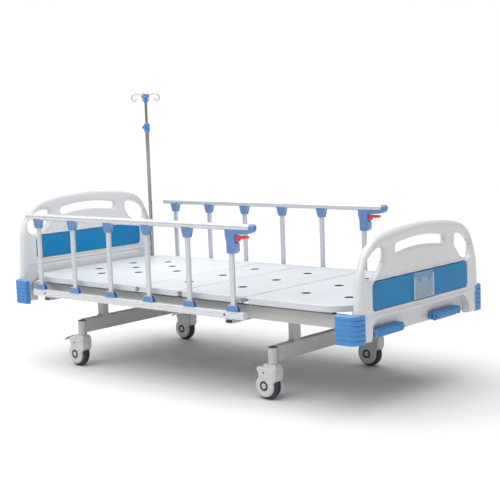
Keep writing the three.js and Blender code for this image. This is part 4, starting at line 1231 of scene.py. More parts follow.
def bumper(node, end, side):
    low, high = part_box(node)
    outer_x = max(abs(low.x), abs(high.x))
    inner_x = min(abs(low.x), abs(high.x))
    wide = max(abs(low.y), abs(high.y))
    r = BUMPER["corner"]
    leg_x = outer_x - 0.0087
    outside = arc(inner_x + 0.012, wide - 0.012, 0.012, 180, 90, 6)
    outside += [(inner_x + (outer_x - r - inner_x) * t, wide) for t in (0.4, 0.7)]
    outside += arc(outer_x - r, wide - r, r, 90, 0, 12)
    outside += [(outer_x, wide - r - 0.010), (outer_x, BUMPER["edge"] + 0.006)]
    outside += [(outer_x - 0.003, BUMPER["edge"])]
    inside = [(leg_x, BUMPER["edge"]), (leg_x, BUMPER["leg_side"]), (1.022, BUMPER["leg_side"]),
              (1.022, BUMPER["flank"]), (inner_x, BUMPER["flank"])]
    loop = outside + inside
    weight = [1.0] * len(outside) + [0.0] * len(inside)
    weight[0] = weight[len(outside) - 1] = 0.35
    steps = BUMPER["ribs"] * 8
    sections = []
    for i in range(steps + 1):
        t = i / steps
        part = (t * BUMPER["ribs"]) % 1.0
        crown = (1 - abs(2 * part - 1) ** 5) ** 0.5
        depth = BUMPER["groove"] * (1 - crown)
        from_end = min(t, 1 - t) * (high.z - low.z)
        depth += 0.003 * (1 - min(1.0, from_end / 0.004)) ** 2
        z = low.z + (high.z - low.z) * t
        moved = inset(loop, -depth)
        sections.append([
            (end * (u + (mu - u) * w), side * (v + (mv - v) * w), z)
            for (u, v), (mu, mv), w in zip(loop, moved, weight)
        ])
    piece = Piece(node + "_ribbed")
    piece.loft("bumper_blue", sections)
    piece.finish("root", "bumper_blue", node, sharp=50)


# ---- guard rails -----------------------------------------------------------------------------
RAIL = {"y": 0.485, "z": 0.7535, "radius": 0.0155, "bore": 0.0125}
POST = {"half": 0.0135, "depth": 0.007, "low": 0.406, "high": 0.722, "slack": 0.0007}
CAP = ((-0.028, 0.747), (-0.028, 0.738), (-0.021, 0.711), (-0.0155, 0.697), (0.0155, 0.697),
       (0.021, 0.711), (0.028, 0.738), (0.028, 0.747))
BOOT = ((-0.034, 0.388), (0.034, 0.388), (0.032, 0.393), (0.025, 0.418), (-0.025, 0.418),
        (-0.032, 0.393))
FITTING_HALF = 0.013
BAR = {"head": -0.911, "foot": 0.496, "low": 0.358, "high": 0.391, "half": 0.014, "plug": 0.010}
BRACKET_X = (-0.830, 0.395)
BRACKET_HALF = 0.020


def clip(loop, axis, value, keep_above):
    """The part of a closed outline on one side of a line across `axis` (0 or 1)."""
    sign = 1 if keep_above else -1
    result = []
    for a, b in zip(loop, [*loop[1:], loop[0]]):
        da, db = sign * (a[axis] - value), sign * (b[axis] - value)
        if da >= 0:
            result.append(a)
        if da * db < 0:
            t = da / (da - db)
            result.append((a[0] + (b[0] - a[0]) * t, a[1] + (b[1] - a[1]) * t))
    return result


def clevis(piece, name, loop, x, y, half_width, open_side, closed_above=None, closed_below=None,
           roll=0.003):
    """A fork round a flat post: two cheeks, a back wall, and a bridge past the post's end."""
    slot = POST["depth"] + POST["slack"]
    small = 0.0006
    for hand in (-1, 1):
        low, high = sorted((y + hand * slot, y + hand * half_width))
        ends = (roll, small) if hand < 0 else (small, roll)
        piece.slab(name, "y", [loop], rolled(low, high, ends[0], 3, ends[1]))
    wall = x - open_side * (POST["half"] + POST["slack"])
    parts = [clip(loop, 0, wall, open_side < 0)]
    if closed_above is not None:
        parts.append(clip(loop, 1, closed_above, True))
    if closed_below is not None:
        parts.append(clip(loop, 1, closed_below, False))
    for part in parts:
        inner = inset(without_repeats(part), 0.0008)
        piece.slab(name, "y", [inner], rolled(y - slot - 0.0004, y + slot + 0.0004, 0.0002, 1))


class BED_OT_guard_rails(bpy.types.Operator):
    """Builds the folding guard rails: tubes, caps, posts, boots and lower bars"""

    bl_idname = "bed.guard_rails"
    bl_label = "Guard Rails"

    def execute(self, context):
        for side_name, side in SIDES.items():
            top_rail(side_name, side * RAIL["y"])
            lower_rail(side_name, side)
            for index in POSTS:
                rail_post(side_name, index)
            latch(side_name, side * RAIL["y"])
        return {"FINISHED"}


def post_x(side_name, index):
    low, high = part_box(f"{side_name}_post_{index}")
    return (low.x + high.x) / 2


def top_rail(side_name, y):
    node = f"{side_name}_top_rail"
    low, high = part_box(node)
    piece = Piece(node + "_tube")
    piece.pipe("rail_silver", "x", y, RAIL["z"], RAIL["radius"], RAIL["bore"], low.x + 0.0025,
               high.x, 0.0008, 40)
    piece.turned("board_white", "x", (0, y, RAIL["z"]), (
        (0, low.x + 0.012), (0.0123, low.x + 0.012), (0.0123, low.x + 0.0026), (0.0153, low.x + 0.0024),
        (0.0150, low.x + 0.0012), (0.0120, low.x + 0.0003), (0, low.x)), 40)
    piece.finish(f"{side_name}_rail", "rail_silver", node)
    caps = Piece(f"{side_name}_rail_caps")
    for index in list(POSTS)[:-1]:
        x = post_x(side_name, index)
        clevis(caps, "fitting_blue", [(x + u, v) for u, v in CAP], x, y, FITTING_HALF, -1,
               closed_above=POST["high"] + POST["half"] + POST["slack"])
        piece_band(caps, "fitting_blue", x, y, 0.7395, 0.0285, 0.0135)
    caps.finish(f"{side_name}_rail", "fitting_blue")


def piece_band(piece, name, x, y, z, half_x, half_y):
    """A thin raised band round a fitting."""
    outer = rounded(x - half_x, x + half_x, y - half_y, y + half_y, 0.003)
    inner = inset(outer, 0.004)[::-1]
    piece.slab(name, "z", [outer, inner], rolled(z, z + 0.0022, 0.0006, 2))


def lower_rail(side_name, side):
    """The bar with its end plugs and mounting brackets, then the boots that stand on it."""
    node = f"{side_name}_lower_rail"
    y = side * RAIL["y"]
    x0, x1, z0, z1, half = (BAR[key] for key in ("head", "foot", "low", "high", "half"))
    piece = Piece(f"{side_name}_lower_bar")
    piece.tube("rail_silver", "x", (y - half, y + half, z0, z1, x0, x1), 0.005, 0.003, 0.0008)
    for tip, inward in ((x0, 1), (x1, -1)):
        a, b = sorted((tip + inward * BAR["plug"], tip))
        piece.block("board_white", (a, y - half + 0.0028, z0 + 0.0028),
                    (b, y + half - 0.0028, z1 - 0.0028), 0.0012, "x", 0.003)
    wide = BRACKET_HALF
    for x in BRACKET_X:
        a, b = sorted((side * 0.350, side * 0.480))
        piece.tube("frame_paint", "y", (x - wide, x + wide, 0.335, 0.3517, a, b), 0.003, 0.002)
        a, b = sorted((side * 0.440, side * 0.480))
        piece.block("frame_paint", (x - wide, a, 0.3512), (x + wide, b, 0.3588), 0.0010)
    piece.finish("root", "rail_silver", node)
    boots = Piece(f"{side_name}_rail_boots")
    for index in POSTS:
        x = post_x(side_name, index)
        clevis(boots, "fitting_blue", [(x + u, v) for u, v in BOOT], x, y, FITTING_HALF, 1,
               closed_below=POST["low"] - POST["half"] - POST["slack"])
        piece_band(boots, "fitting_blue", x, y, 0.3912, 0.0335, 0.0134)
    boots.finish("root", "fitting_blue")


def rail_post(side_name, index):
    """A flat oval bar with a raised spine on each face, round at both ends."""
    node = f"{side_name}_post_{index}"
    x0, x1, y0, y1, _, _ = sides_of(node)
    x, y = (x0 + x1) / 2, (y0 + y1) / 2
    half, depth = POST["half"], POST["depth"]
    loop = arc(x, POST["low"], half, 180, 360, 12) + arc(x, POST["high"], half, 0, 180, 12)
    piece = Piece(node + "_bar")
    piece.slab("post_silver", "y", [loop], rolled(y - depth, y + depth, 0.0055, 4))
    spine = arc(x, POST["low"] + 0.030, 0.0048, 180, 360, 6)
    spine += arc(x, POST["high"] - 0.030, 0.0048, 0, 180, 6)
    piece.slab("post_silver", "y", [spine], rolled(y - depth - 0.0004, y + depth + 0.0004, 0.0008, 2))
    for z in (POST["low"], POST["high"]):
        piece.bar("zinc", "y", x, z, 0.003, y - 0.0125, y + 0.0125, 0.0005, 16)
    piece.finish(node, "rail_silver", node)


def latch(side_name, y):
    """The blue latch housing at the last post with its rail cap, and the red lever under it."""
    x = post_x(side_name, 6)
    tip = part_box(f"{side_name}_latch_housing")[1].x
    end = tip - 0.027
    housing = [(x - 0.027, 0.745), (x - 0.0255, 0.716), (x - 0.0185, 0.690), (x - 0.018, 0.640),
               (x + 0.018, 0.638), (x + 0.034, 0.646), (x + 0.038, 0.652), (x + 0.038, 0.684),
               (x + 0.031, 0.690), (x + 0.031, 0.721), (end - 0.012, 0.727)]
    housing += bend([(end - 0.010, 0.7272), (tip - 0.006, 0.733), (tip - 0.003, 0.745)], 5)[1:]
    housing += [(tip - 0.003, 0.745), (tip - 0.006, 0.747)]
    piece = Piece(f"{side_name}_latch_body")
    clevis(piece, "fitting_blue", housing, x, y, 0.0141, -1,
           closed_above=POST["high"] + POST["half"] + POST["slack"], roll=0.0042)
    z = RAIL["z"]
    piece.turned("fitting_blue", "x", (0, y, z), (
        (0, end - 0.006), (0.0153, end - 0.006), (0.0155, end + 0.004), (0.0155, tip - 0.012),
        (0.0150, tip - 0.006), (0.0122, tip - 0.002), (0.0080, tip - 0.0003), (0, tip)), 40)
    for hand in (-1, 1):
        face = y + hand * 0.0148
        low, high = sorted((face - hand * 0.001, face))
        panel = rounded(x - 0.012, x + 0.024, 0.652, 0.664, 0.003)
        piece.slab("fitting_blue", "y", [panel], rolled(low, high, 0.0004, 2))
    piece.finish(f"{side_name}_rail", "fitting_blue", f"{side_name}_latch_housing")
    lever = Piece(f"{side_name}_latch_trigger")
    loop = [(x + 0.0315, 0.694), (x + 0.033, 0.693), (x + 0.047, 0.693), (x + 0.0495, 0.703),
            (x + 0.053, 0.7055), (x + 0.074, 0.7045), (x + 0.092, 0.706), (x + 0.0965, 0.709),
            (x + 0.097, 0.713), (x + 0.095, 0.7175), (x + 0.090, 0.7183), (x + 0.034, 0.719),
            (x + 0.0318, 0.7175)]
    lever.slab("latch_red", "y", [loop], rolled(y - 0.009, y + 0.009, 0.0022))
    lever.finish(f"{side_name}_latch", "latch_red", f"{side_name}_latch_lever")


# ---- casters ---------------------------------------------------------------------------------
WHEEL_SET_BACK = -0.033
WHEEL_RADIUS = 0.062
CHEEK_RADIUS = 0.050
AXLE_RING = ((0.0118, 0.0290), (0.0118, 0.0312), (0.0140, 0.0320), (0.0200, 0.0318),
             (0.0220, 0.0306), (0.0222, 0.0290))
AXLE_CAP = ((0, 0.0288), (0.0116, 0.0288), (0.0116, 0.0306), (0.0100, 0.0314), (0.0045, 0.0316),
            (0.0036, 0.0308), (0, 0.0308))
TYRE_HALF = ((0.0465, 0.0148), (0.0535, 0.0165), (0.0580, 0.0155), (0.0606, 0.0122),
             (0.0617, 0.0082), (0.0611, 0.0076), (0.0612, 0.0068), (0.0619, 0.0062), (0.0620, 0.0))
HUB_HALF = ((0.0066, 0.0140), (0.0150, 0.0140), (0.0165, 0.0112), (0.0405, 0.0112),
            (0.0430, 0.0145), (0.0468, 0.0145))


class BED_OT_casters(bpy.types.Operator):
    """Builds the hooded brake casters"""

    bl_idname = "bed.casters"
    bl_label = "Casters"

    def execute(self, context):
        for end_name in ENDS:
            for side_name in SIDES:
                name = f"{end_name}_{side_name}_caster"
                low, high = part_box(name + "_wheel")
                stem = Vector(((low.x + high.x) / 2 - WHEEL_SET_BACK, (low.y + high.y) / 2, 0))
                caster_hood(name, stem)
                caster_wheel(name, stem)
                caster_pedal(name, stem)
        return {"FINISHED"}


def outward(profile, y, hand):
    """A (radius, distance) profile with its distances measured from y towards one side."""
    return [(r, y + hand * d) for r, d in profile]


def caster_hood(name, stem):
    """Two rounded cheeks joined over the wheel, two steps on top, the stem and the axle cap."""
    sx, sy = stem.x, stem.y
    wx, wz = WHEEL_SET_BACK, WHEEL_RADIUS
    shoulder, top = 0.1445, 0.1576
    cheek = [(0.028, shoulder), (-0.067, shoulder), (-0.078, 0.134)]
    rear_turn, front_turn = math.radians(135), 0.25
    behind = (wx + CHEEK_RADIUS * math.cos(rear_turn), wz + CHEEK_RADIUS * math.sin(rear_turn))
    ahead = (wx + CHEEK_RADIUS * math.cos(front_turn), wz + CHEEK_RADIUS * math.sin(front_turn))
    cheek += bend([(-0.0765, 0.130), (-0.064, 0.114), behind], 6)
    cheek += arc(wx, wz, CHEEK_RADIUS, 135, 360 + 14, 30)
    cheek += bend([ahead, (0.028, 0.084), (0.032, 0.100)], 6)[1:]
    cheek += [(0.032, 0.100), (0.033, 0.138)] + arc(0.028, 0.1395, 0.005, 0, 90, 4)
    cheek = [(sx + u, v) for u, v in cheek]
    piece = Piece(name + "_fork")
    for hand in (-1, 1):
        low, high = sorted((sy + hand * 0.0185, sy + hand * 0.030))
        ends = (0.0085, 0.0008) if hand < 0 else (0.0008, 0.0085)
        piece.slab("hood_grey", "y", [cheek], rolled(low, high, ends[0], 5, ends[1]))
    bridge = [(0.0289, 0.085), (0.0318, 0.100), (0.0328, 0.138)] + arc(0.0278, 0.1395, 0.005, 0, 90, 3)
    bridge += [(-0.0405, shoulder)] + arc(wx, wz, 0.066, 96.5, 20.4, 12)
    piece.slab("hood_grey", "y", [[(sx + u, v) for u, v in bridge]],
               rolled(sy - 0.0215, sy + 0.0215, 0.0004, 1))
    rear = [(-0.0400, shoulder), (-0.0660, shoulder), (-0.0765, 0.134), (-0.0668, 0.1215)]
    rear += arc(wx, wz, 0.066, 121, 97, 5)
    for hand in (-1, 1):
        low, high = sorted((sy + hand * 0.0148, sy + hand * 0.0215))
        piece.slab("hood_grey", "y", [[(sx + u, v) for u, v in rear]], rolled(low, high, 0.0008, 2))
    for x0, x1, half, z0, z1 in ((-0.0405, 0.0315, 0.0272, shoulder - 0.001, 0.1512),
                                 (-0.0405, 0.0285, 0.0245, 0.1506, top)):
        piece.block("hood_grey", (sx + x0, sy - half, z0), (sx + x1, sy + half, z1), 0.0018, "z", 0.008)
    for z in (0.1225, 0.1330):
        front = rounded(sx + 0.0245, sx + 0.0336, sy - 0.0294, sy + 0.0294, (0.001, 0.007, 0.007, 0.001))
        piece.slab("hood_grey", "z", [front], rolled(z, z + 0.0034, 0.0014))
    piece.turned("zinc", "z", (sx, sy, 0), (
        (0, top - 0.002), (0.0185, top - 0.002), (0.0185, top + 0.0002), (0.011, top + 0.0003),
        (0.011, 0.2205), (0.0100, 0.2218), (0, 0.222)), 28)
    piece.bar("zinc", "y", sx + wx, wz, 0.006, sy - 0.0205, sy + 0.0205, 0.0004, 24)
    for hand in (-1, 1):
        piece.ring("tyre_dark", "y", (sx + wx, 0, wz), outward(AXLE_RING, sy, hand), 40)
        piece.turned("hood_grey", "y", (sx + wx, 0, wz), outward(AXLE_CAP, sy, hand), 32)
    piece.finish(name, "hood_grey", name + "_hood", sharp=45)


def caster_wheel(name, stem):
    """A dark tyre with two tread lines round a light hub."""
    centre = (stem.x + WHEEL_SET_BACK, 0, WHEEL_RADIUS)
    y = stem.y
    tyre = outward(TYRE_HALF, y, 1) + outward(TYRE_HALF[-2::-1], y, -1)
    piece = Piece(name + "_tyre")
    piece.ring("tyre_dark", "y", centre, tyre, 64)
    hub = outward(HUB_HALF, y, 1) + outward(HUB_HALF[::-1], y, -1)
    piece.ring("hood_grey", "y", centre, hub, 48)
    piece.finish(name + "_wheel", "tyre_dark", name + "_wheel")


def caster_pedal(name, stem):
    """A bent steel tongue with a ribbed tread at its tip."""
    sx, sy = stem.x, stem.y
    path = smooth_through([(-0.0450, 0.1515), (-0.0560, 0.1515), (-0.0680, 0.1490), (-0.1050, 0.1362),
                           (-0.1200, 0.1285), (-0.1290, 0.1232)], 4)
    piece = Piece(name + "_pedal_plate")
    section = rounded(-0.0130, 0.0130, -0.0021, 0.0021, 0.0019, 3)
    piece.sweep("zinc", [(sx + p.x, sy, p.y) for p in path], section)
    for i in range(4):
        u = -0.1080 - 0.0052 * i
        v = 0.1376 - 0.0029 * i
        piece.block("black_plastic", (sx + u - 0.0014, sy - 0.011, v - 0.0008),
                    (sx + u + 0.0014, sy + 0.011, v + 0.0012), 0.0006)
    piece.finish(name + "_pedal", "zinc", name + "_pedal")


# ---- cranks and lifting gear -----------------------------------------------------------------
CRANK = {"arm": 0.193, "x0": 1.042, "x1": 1.056, "reach": 0.205, "pivot": 1.066, "shaft": 0.009,
         "screw": 0.0075}
LEVER = {"z": 0.392, "tube": 0.014, "journal": 0.008, "arm": 0.008, "roller": 0.0113, "drop": 0.056,
         "rows": 0.160, "rise": 0.015}
LEVERS = {
    "back": {"x": SEAMS["back"], "reach": 0.300, "side": -1, "swing": 33.6},
    "knee": {"x": SEAMS["seat"], "reach": 0.250, "side": 1, "swing": 18.5},
}


class BED_OT_lifting_gear(bpy.types.Operator):
    """Builds the two cranks, their screws, push tubes and lift levers"""

    bl_idname = "bed.lifting_gear"
    bl_label = "Lifting Gear"

    def execute(self, context):
        for name, plan in LEVERS.items():
            crank_shaft(name, plan["side"])
            crank_grip(name, plan["side"])
            lift_lever(name, **plan)
            push_tube(name, plan["x"], plan["side"], plan["swing"])
        return {"FINISHED"}


def crank_shaft(name, side):
    """Threaded screw and shaft with the flat arm and its two ears."""
    y = CRANK_Y[name]
    tip = y + side * CRANK["arm"]
    piece = Piece(f"{name}_crank_arm")
    pitch, crest, root = 0.006, CRANK["screw"], CRANK["screw"] - 0.0012
    thread = [(0, 0.190), (root, 0.190)]
    for i in range(int(0.270 / pitch)):
        x = 0.191 + i * pitch
        thread += [(root, x), (crest, x + 0.0016), (crest, x + 0.0034), (root, x + 0.005)]
    thread += [(root, 0.4602), (0, 0.4602)]
    piece.turned("zinc", "x", (0, y, CRANK_Z), thread, 20)
    piece.bar("zinc", "x", y, CRANK_Z, CRANK["shaft"], 0.460, CRANK["x0"] + 0.002, 0.001, 28)
    y0, y1 = sorted((y, tip))
    piece.slab("crank_blue", "x", [rounded(y0 - 0.018, y1 + 0.018, 0.320, 0.352, 0.0155, 8)],
               rolled(CRANK["x0"], CRANK["x1"], 0.0032))
    piece.turned("crank_blue", "x", (0, y, CRANK_Z), (
        (0, 1.033), (0.0130, 1.033), (0.0145, 1.0345), (0.0145, 1.0435), (0, 1.0436)), 32)
    for z0, z1 in ((0.320, 0.327), (0.345, 0.352)):
        ear = arc(CRANK["pivot"], tip, 0.009, -90, 90, 10)
        loop = [(1.054, tip - 0.009), *ear, (1.054, tip + 0.009)]
        piece.slab("crank_blue", "z", [loop], rolled(z0, z1, 0.0010, 2))
    piece.finish(f"{name}_crank", "crank_blue", f"{name}_crank_shaft")


def crank_grip(name, side):
    """The folding handle: a faceted bar with a raised face, on a tongue and a pin."""
    y = CRANK_Y[name]
    tip = y + side * CRANK["arm"]
    x0, x1, _, _, z0, z1 = sides_of(f"{name}_crank_grip")
    root = tip - side * 0.012
    end = tip - side * CRANK["reach"]
    low, high = sorted((root, end))
    piece = Piece(f"{name}_crank_handle")
    faces = ((0.0035, x0), (0.0010, x0 + 0.0015), (0.0, x0 + 0.0040), (0.0, x0 + 0.0070),
             (0.0012, x0 + 0.0088), (0.0075, x1 - 0.0022), (0.0088, x1 - 0.0012))
    piece.slab("crank_blue", "x", [rounded(low, high, z0, z1, 0.011, 6)], faces)
    piece.slab("crank_blue", "x", [rounded(low + 0.016, high - 0.016, z0 + 0.013, z1 - 0.013, 0.005, 5)],
               rolled(x1 - 0.004, x1, 0.0008, 2))
    tongue = sorted((tip, root - side * 0.003))
    piece.bar("crank_blue", "z", CRANK["pivot"], tip, 0.0086, 0.3274, 0.3446, 0.0006, 24)
    piece.block("crank_blue", (x0 + 0.0005, tongue[0], 0.3274),
                (CRANK["pivot"] + 0.0078, tongue[1], 0.3446), 0.0008)
    piece.bar("zinc", "z", CRANK["pivot"], tip, 0.003, 0.321, 0.351, 0.0005, 16)
    piece.finish(f"{name}_crank_grip", "crank_blue", f"{name}_crank_grip")


def turned_about(point, pivot, degrees):
    """A point (u, v) turned clockwise about a pivot, as seen with +X right and +Z up."""
    t = math.radians(degrees)
    u, v = point[0] - pivot[0], point[1] - pivot[1]
    return (pivot[0] + u * math.cos(t) + v * math.sin(t), pivot[1] - u * math.sin(t) + v * math.cos(t))


def lift_lever(name, x, reach, side, swing):
    """A cross tube with two roller arms and a slotted drive fork."""
    y, z = CRANK_Y[name], LEVER["z"]
    wide = BEAM["inner"] - 0.001
    piece = Piece(f"{name}_lever_tube")
    piece.bar("frame_paint", "y", x, z, LEVER["tube"], -wide, wide, 0.001, 32)
    far = BEAM["outer"] - 0.010
    piece.bar("frame_paint", "y", x, z, LEVER["journal"], -far, far, 0.0008, 24)
    rise, half = LEVER["rise"], LEVER["arm"]
    run = math.sqrt(reach ** 2 - rise ** 2)
    for hand in (-1, 1):
        row = hand * LEVER["rows"]
        loop = [(x, z - half), (x + side * run, z + rise - half),
                (x + side * run, z + rise + half), (x, z + half)][::side]
        piece.slab("frame_paint", "y", [loop], rolled(row - 0.006, row + 0.006, 0.0012, 2))
        piece.bar("black_plastic", "y", x + side * run, z + rise, LEVER["roller"], row - 0.013,
                  row + 0.013, 0.0015, 28)
    slot_end = LEVER["drop"] / math.cos(math.radians(swing))
    plate = rounded(x - 0.016, x + 0.016, z - slot_end - 0.016, z - 0.008, (0.015, 0.015, 0.001, 0.001), 6)
    slot = rounded(x - 0.0085, x + 0.0085, z - slot_end - 0.0085, z - LEVER["drop"] + 0.0085, 0.008, 6)
    plate, slot = ([turned_about(p, (x, z), side * swing) for p in loop] for loop in (plate, slot))
    for hand in (-1, 1):
        row = y + hand * 0.009
        piece.slab("frame_paint", "y", [plate, slot[::-1]], rolled(row - 0.002, row + 0.002, 0.0006, 2))
    piece.finish(f"{name}_lever", "frame_paint", f"{name}_lift_lever")


def push_tube(name, x, side, swing):
    """The tube that the screw drives, with its flat tongue and cross pin."""
    y = CRANK_Y[name]
    pin = x - side * LEVER["drop"] * math.tan(math.radians(swing))
    piece = Piece(f"{name}_push_rod")
    piece.pipe("zinc", "x", y, CRANK_Z, 0.013, 0.0082, pin + 0.026, 0.400, 0.0008, 28)
    piece.turned("zinc", "x", (0, y, CRANK_Z), (
        (0, pin + 0.026), (0.012, pin + 0.026), (0.012, pin + 0.050), (0, pin + 0.0501)), 28)
    piece.block("zinc", (pin - 0.011, y - 0.006, CRANK_Z - 0.010),
                (pin + 0.028, y + 0.006, CRANK_Z + 0.010), 0.0015, "y", 0.006)
    piece.bar("zinc", "y", pin, CRANK_Z, 0.005, y - 0.013, y + 0.013, 0.0006, 20)
    piece.finish(f"{name}_push", "zinc", f"{name}_push_tube")


# ---- drip pole -------------------------------------------------------------------------------
HOOK = {"hub": 1.346, "wire": 0.0025, "first": 0.18, "count": 4}
HOOK_CURL = ((0.008, 0), (0.030, 0.008), (0.052, 0.012), (0.070, 0.007), (0.079, -0.008),
             (0.074, -0.024), (0.060, -0.026), (0.052, -0.015))


class BED_OT_drip_pole(bpy.types.Operator):
    """Builds the telescopic drip pole with its collar, hub and four hooks"""

    bl_idname = "bed.drip_pole"
    bl_label = "Drip Pole"

    def execute(self, context):
        x, y = POLE
        lower = Piece("pole_lower_sleeve")
        low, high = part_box("pole_lower_tube")
        lower.pipe("pole_steel", "z", x, y, 0.0105, 0.0074, low.z, high.z, 0.0006, 40)
        lower.finish("pole", "pole_steel", "pole_lower_tube")
        hub = HOOK["hub"]
        upper = Piece("pole_upper_rod")
        upper.bar("pole_steel", "z", x, y, 0.007, 0.760, hub, 0.0008, 32)
        turns = [math.pi * (HOOK["first"] + i / 2) for i in range(HOOK["count"])]
        for turn in turns:
            hook(upper, x, y, turn)
        upper.finish("pole_top", "pole_steel", "pole_upper_tube")
        crown = Piece("pole_hub")
        crown.turned("bumper_blue", "z", (x, y, 0), (
            (0, hub - 0.038), (0.0095, hub - 0.038), (0.0112, hub - 0.035), (0.0118, hub - 0.014),
            (0.0160, hub - 0.0100), (0.0185, hub - 0.006), (0.0190, hub + 0.004),
            (0.0172, hub + 0.008),
            (0.0120, hub + 0.0098), (0.0100, hub + 0.0118), (0, hub + 0.0120)), 40)
        for turn in turns:
            path = [(x + r * math.cos(turn), y + r * math.sin(turn), hub) for r in (0.010, 0.022)]
            crown.sweep("bumper_blue", path, circle(0, 0, 0.0055, 16))
        crown.finish("pole_top", "bumper_blue")
        collar(x, y)
        return {"FINISHED"}


def hook(piece, x, y, turn):
    """A curled wire hook: out from the hub, then round in an open loop."""
    points = [(x + reach * math.cos(turn), y + reach * math.sin(turn), HOOK["hub"] + rise)
              for reach, rise in HOOK_CURL]
    piece.sweep("pole_steel", smooth_through(points, 6), circle(0, 0, HOOK["wire"], 12))


def collar(x, y):
    """The clamp collar: a waisted sleeve and a knurled knob to -X."""
    *_, bottom, top = sides_of("pole_collar")
    piece = Piece("pole_clamp_collar")
    inner = 0.0109
    step = bottom + 0.0055
    piece.ring("bumper_blue", "z", (x, y, 0), (
        (inner, bottom), (0.0138, bottom), (0.0150, bottom + 0.0015), (0.0160, bottom + 0.014),
        (0.0160, top - 0.012), (0.0150, top - 0.004), (0.0128, top - 0.0008), (0.0090, top),
        (0.0074, top), (0.0074, step), (inner, step)), 40)
    knob_z = bottom + 0.028
    piece.turned("bumper_blue", "x", (0, y, knob_z), (
        (0, x - 0.032), (0.0060, x - 0.032), (0.0084, x - 0.0305), (0.0088, x - 0.0285),
        (0.0088, x - 0.0215), (0.0070, x - 0.0195), (0.0055, x - 0.0175), (0.0055, x - 0.012),
        (0, x - 0.012)), 32)
    piece.finish("pole_clamp", "fitting_blue", "pole_collar")
    ring = [math.radians(360 * i / 14) for i in range(14)]
    points = [(x - 0.025, y + 0.0084 * math.cos(t), knob_z + 0.0084 * math.sin(t)) for t in ring]
    grown("pole_knob_knurls", knurl_tree(), points, [], {"Rib Radius": 0.0011, "Rib Length": 0.0075},
          "bumper_blue", "pole_clamp", [(1, 0, 0)] * len(points))


# ---- fasteners -------------------------------------------------------------------------------
class BED_OT_fasteners(bpy.types.Operator):
    """Sets the screws and rivets, one mesh for each group of them"""

    bl_idname = "bed.fasteners"
    bl_label = "Fasteners"

    def execute(self, context):
        sizes = context.scene.bed_sizes
        radius, height, rivet = sizes.screw_radius, sizes.screw_height, sizes.rivet_radius
        for side_name, side in SIDES.items():
            face = side * (RAIL["y"] + 0.014)
            spots = [((x, face - side * 0.0001, 0.3745), (0, side, 0)) for x in (-0.820, 0.387)]
            screws(f"{side_name}_bar_screws", spots, radius, 0.0012, "black_plastic", "root")
            pins, crown = [], []
            for hand in (-1, 1):
                for i in POSTS:
                    x = post_x(side_name, i)
                    cheek, plain = side * RAIL["y"] + hand * 0.0140, side * RAIL["y"] + hand * 0.0129
                    pins.append(((x, plain, POST["low"]), (0, hand, 0)))
                    y = cheek if i == POSTS[-1] else plain
                    crown.append(((x, y, POST["high"]), (0, hand, 0)))
            for name, spots, body in (("boot", pins, "root"), ("cap", crown, f"{side_name}_rail")):
                screws(f"{side_name}_{name}_rivets", spots, rivet, 0.0014, "fitting_blue", body)
        for end_name in ENDS:
            for side_name in SIDES:
                name = f"{end_name}_{side_name}_caster"
                low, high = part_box(name + "_wheel")
                x, y = (low.x + high.x) / 2, (low.y + high.y) / 2
                spots = [((x, y + hand * 0.0298, 0.121), (0, hand, 0)) for hand in (-1, 1)]
                screws(name + "_screws", spots, 0.0042, 0.0012, "black_plastic", name)
        board_screws(radius, height)
        for name, plan in LEVERS.items():
            grip, side = f"{name}_crank_grip", plan["side"]
            tip = CRANK_Y[name] + side * CRANK["arm"]
            spots = [((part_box(grip)[1].x - 0.0004, tip - side * 0.196, CRANK_Z), (1, 0, 0))]
            screws(f"{name}_grip_screw", spots, 0.0040, 0.0004, "black_plastic", grip)
        return {"FINISHED"}


def board_screws(radius, height):
    """Cap screws through the hook plates into the end boards, seen from the deck side."""
    spots = [((end * 1.0205, y, z), (-end, 0, 0))
             for end in ENDS.values() for y in (-0.355, 0.355) for z in (0.368, 0.394)]
    screws("board_screws", spots, radius, height, "zinc", "root")


# ---- stage ---------------------------------------------------------------------------------
class BED_OT_stage(bpy.types.Operator):
    """Sets the pale floor, the soft lights and the camera"""

    bl_idname = "bed.stage"
    bl_label = "Stage"

    def execute(self, context):
        scene = context.scene
        add_floor()
        add_world(scene)
        add_sun()
        add_spot(Vector((1.45, -0.25, 2.1)), Vector((-1.03, 0.0, 0.58)))
        add_light("Head Light", Vector((-3.6, 2.6, 2.6)), Vector((-0.6, 0.0, 0.5)), 2.5, 18.0)
        add_camera(scene)
        scene.view_settings.view_transform = "Standard"
        return {"FINISHED"}


def add_floor():
    """A plain floor that runs past the camera's view on every side."""
    bm = bmesh.new()
    bmesh.ops.create_grid(bm, x_segments=8, y_segments=8, size=60.0)
    mesh = bpy.data.meshes.new("floor")
    bm.to_mesh(mesh)
    bm.free()
    paint = surface("floor_paint", (0.76, 0.76, 0.76), 0.7, grain=60, clouds=0.5, cloud_depth=0.99)
    mesh.materials.append(paint)
    floor = bpy.data.objects.new("floor", mesh)
    bpy.context.scene.collection.objects.link(floor)


def add_world(scene):
    """A plain white surround; a little dimmer as a lamp than as a backdrop."""
    world = bpy.data.worlds.new("Studio")
    scene.world = world
    world.use_nodes = True
    nodes, links = world.node_tree.nodes, world.node_tree.links
    back = nodes["Background"]
    back.inputs["Color"].default_value = (1.0, 1.0, 1.0, 1.0)
    path = nodes.new("ShaderNodeLightPath")
    strength = remap(nodes, links, path.outputs["Is Camera Ray"], 0.0, 1.0, 0.32, 1.0)
    links.new(strength, back.inputs["Strength"])


def add_sun():
    """The even key light, high on the near side towards the head."""
    lamp = bpy.data.lights.new("Key Light", "SUN")
    lamp.energy = 3.7
    lamp.angle = math.radians(85)
    light = bpy.data.objects.new("Key Light", lamp)
    light.rotation_euler = Vector((0.16, 0.24, -0.96)).to_track_quat("-Z", "Y").to_euler()
    bpy.context.scene.collection.objects.link(light)


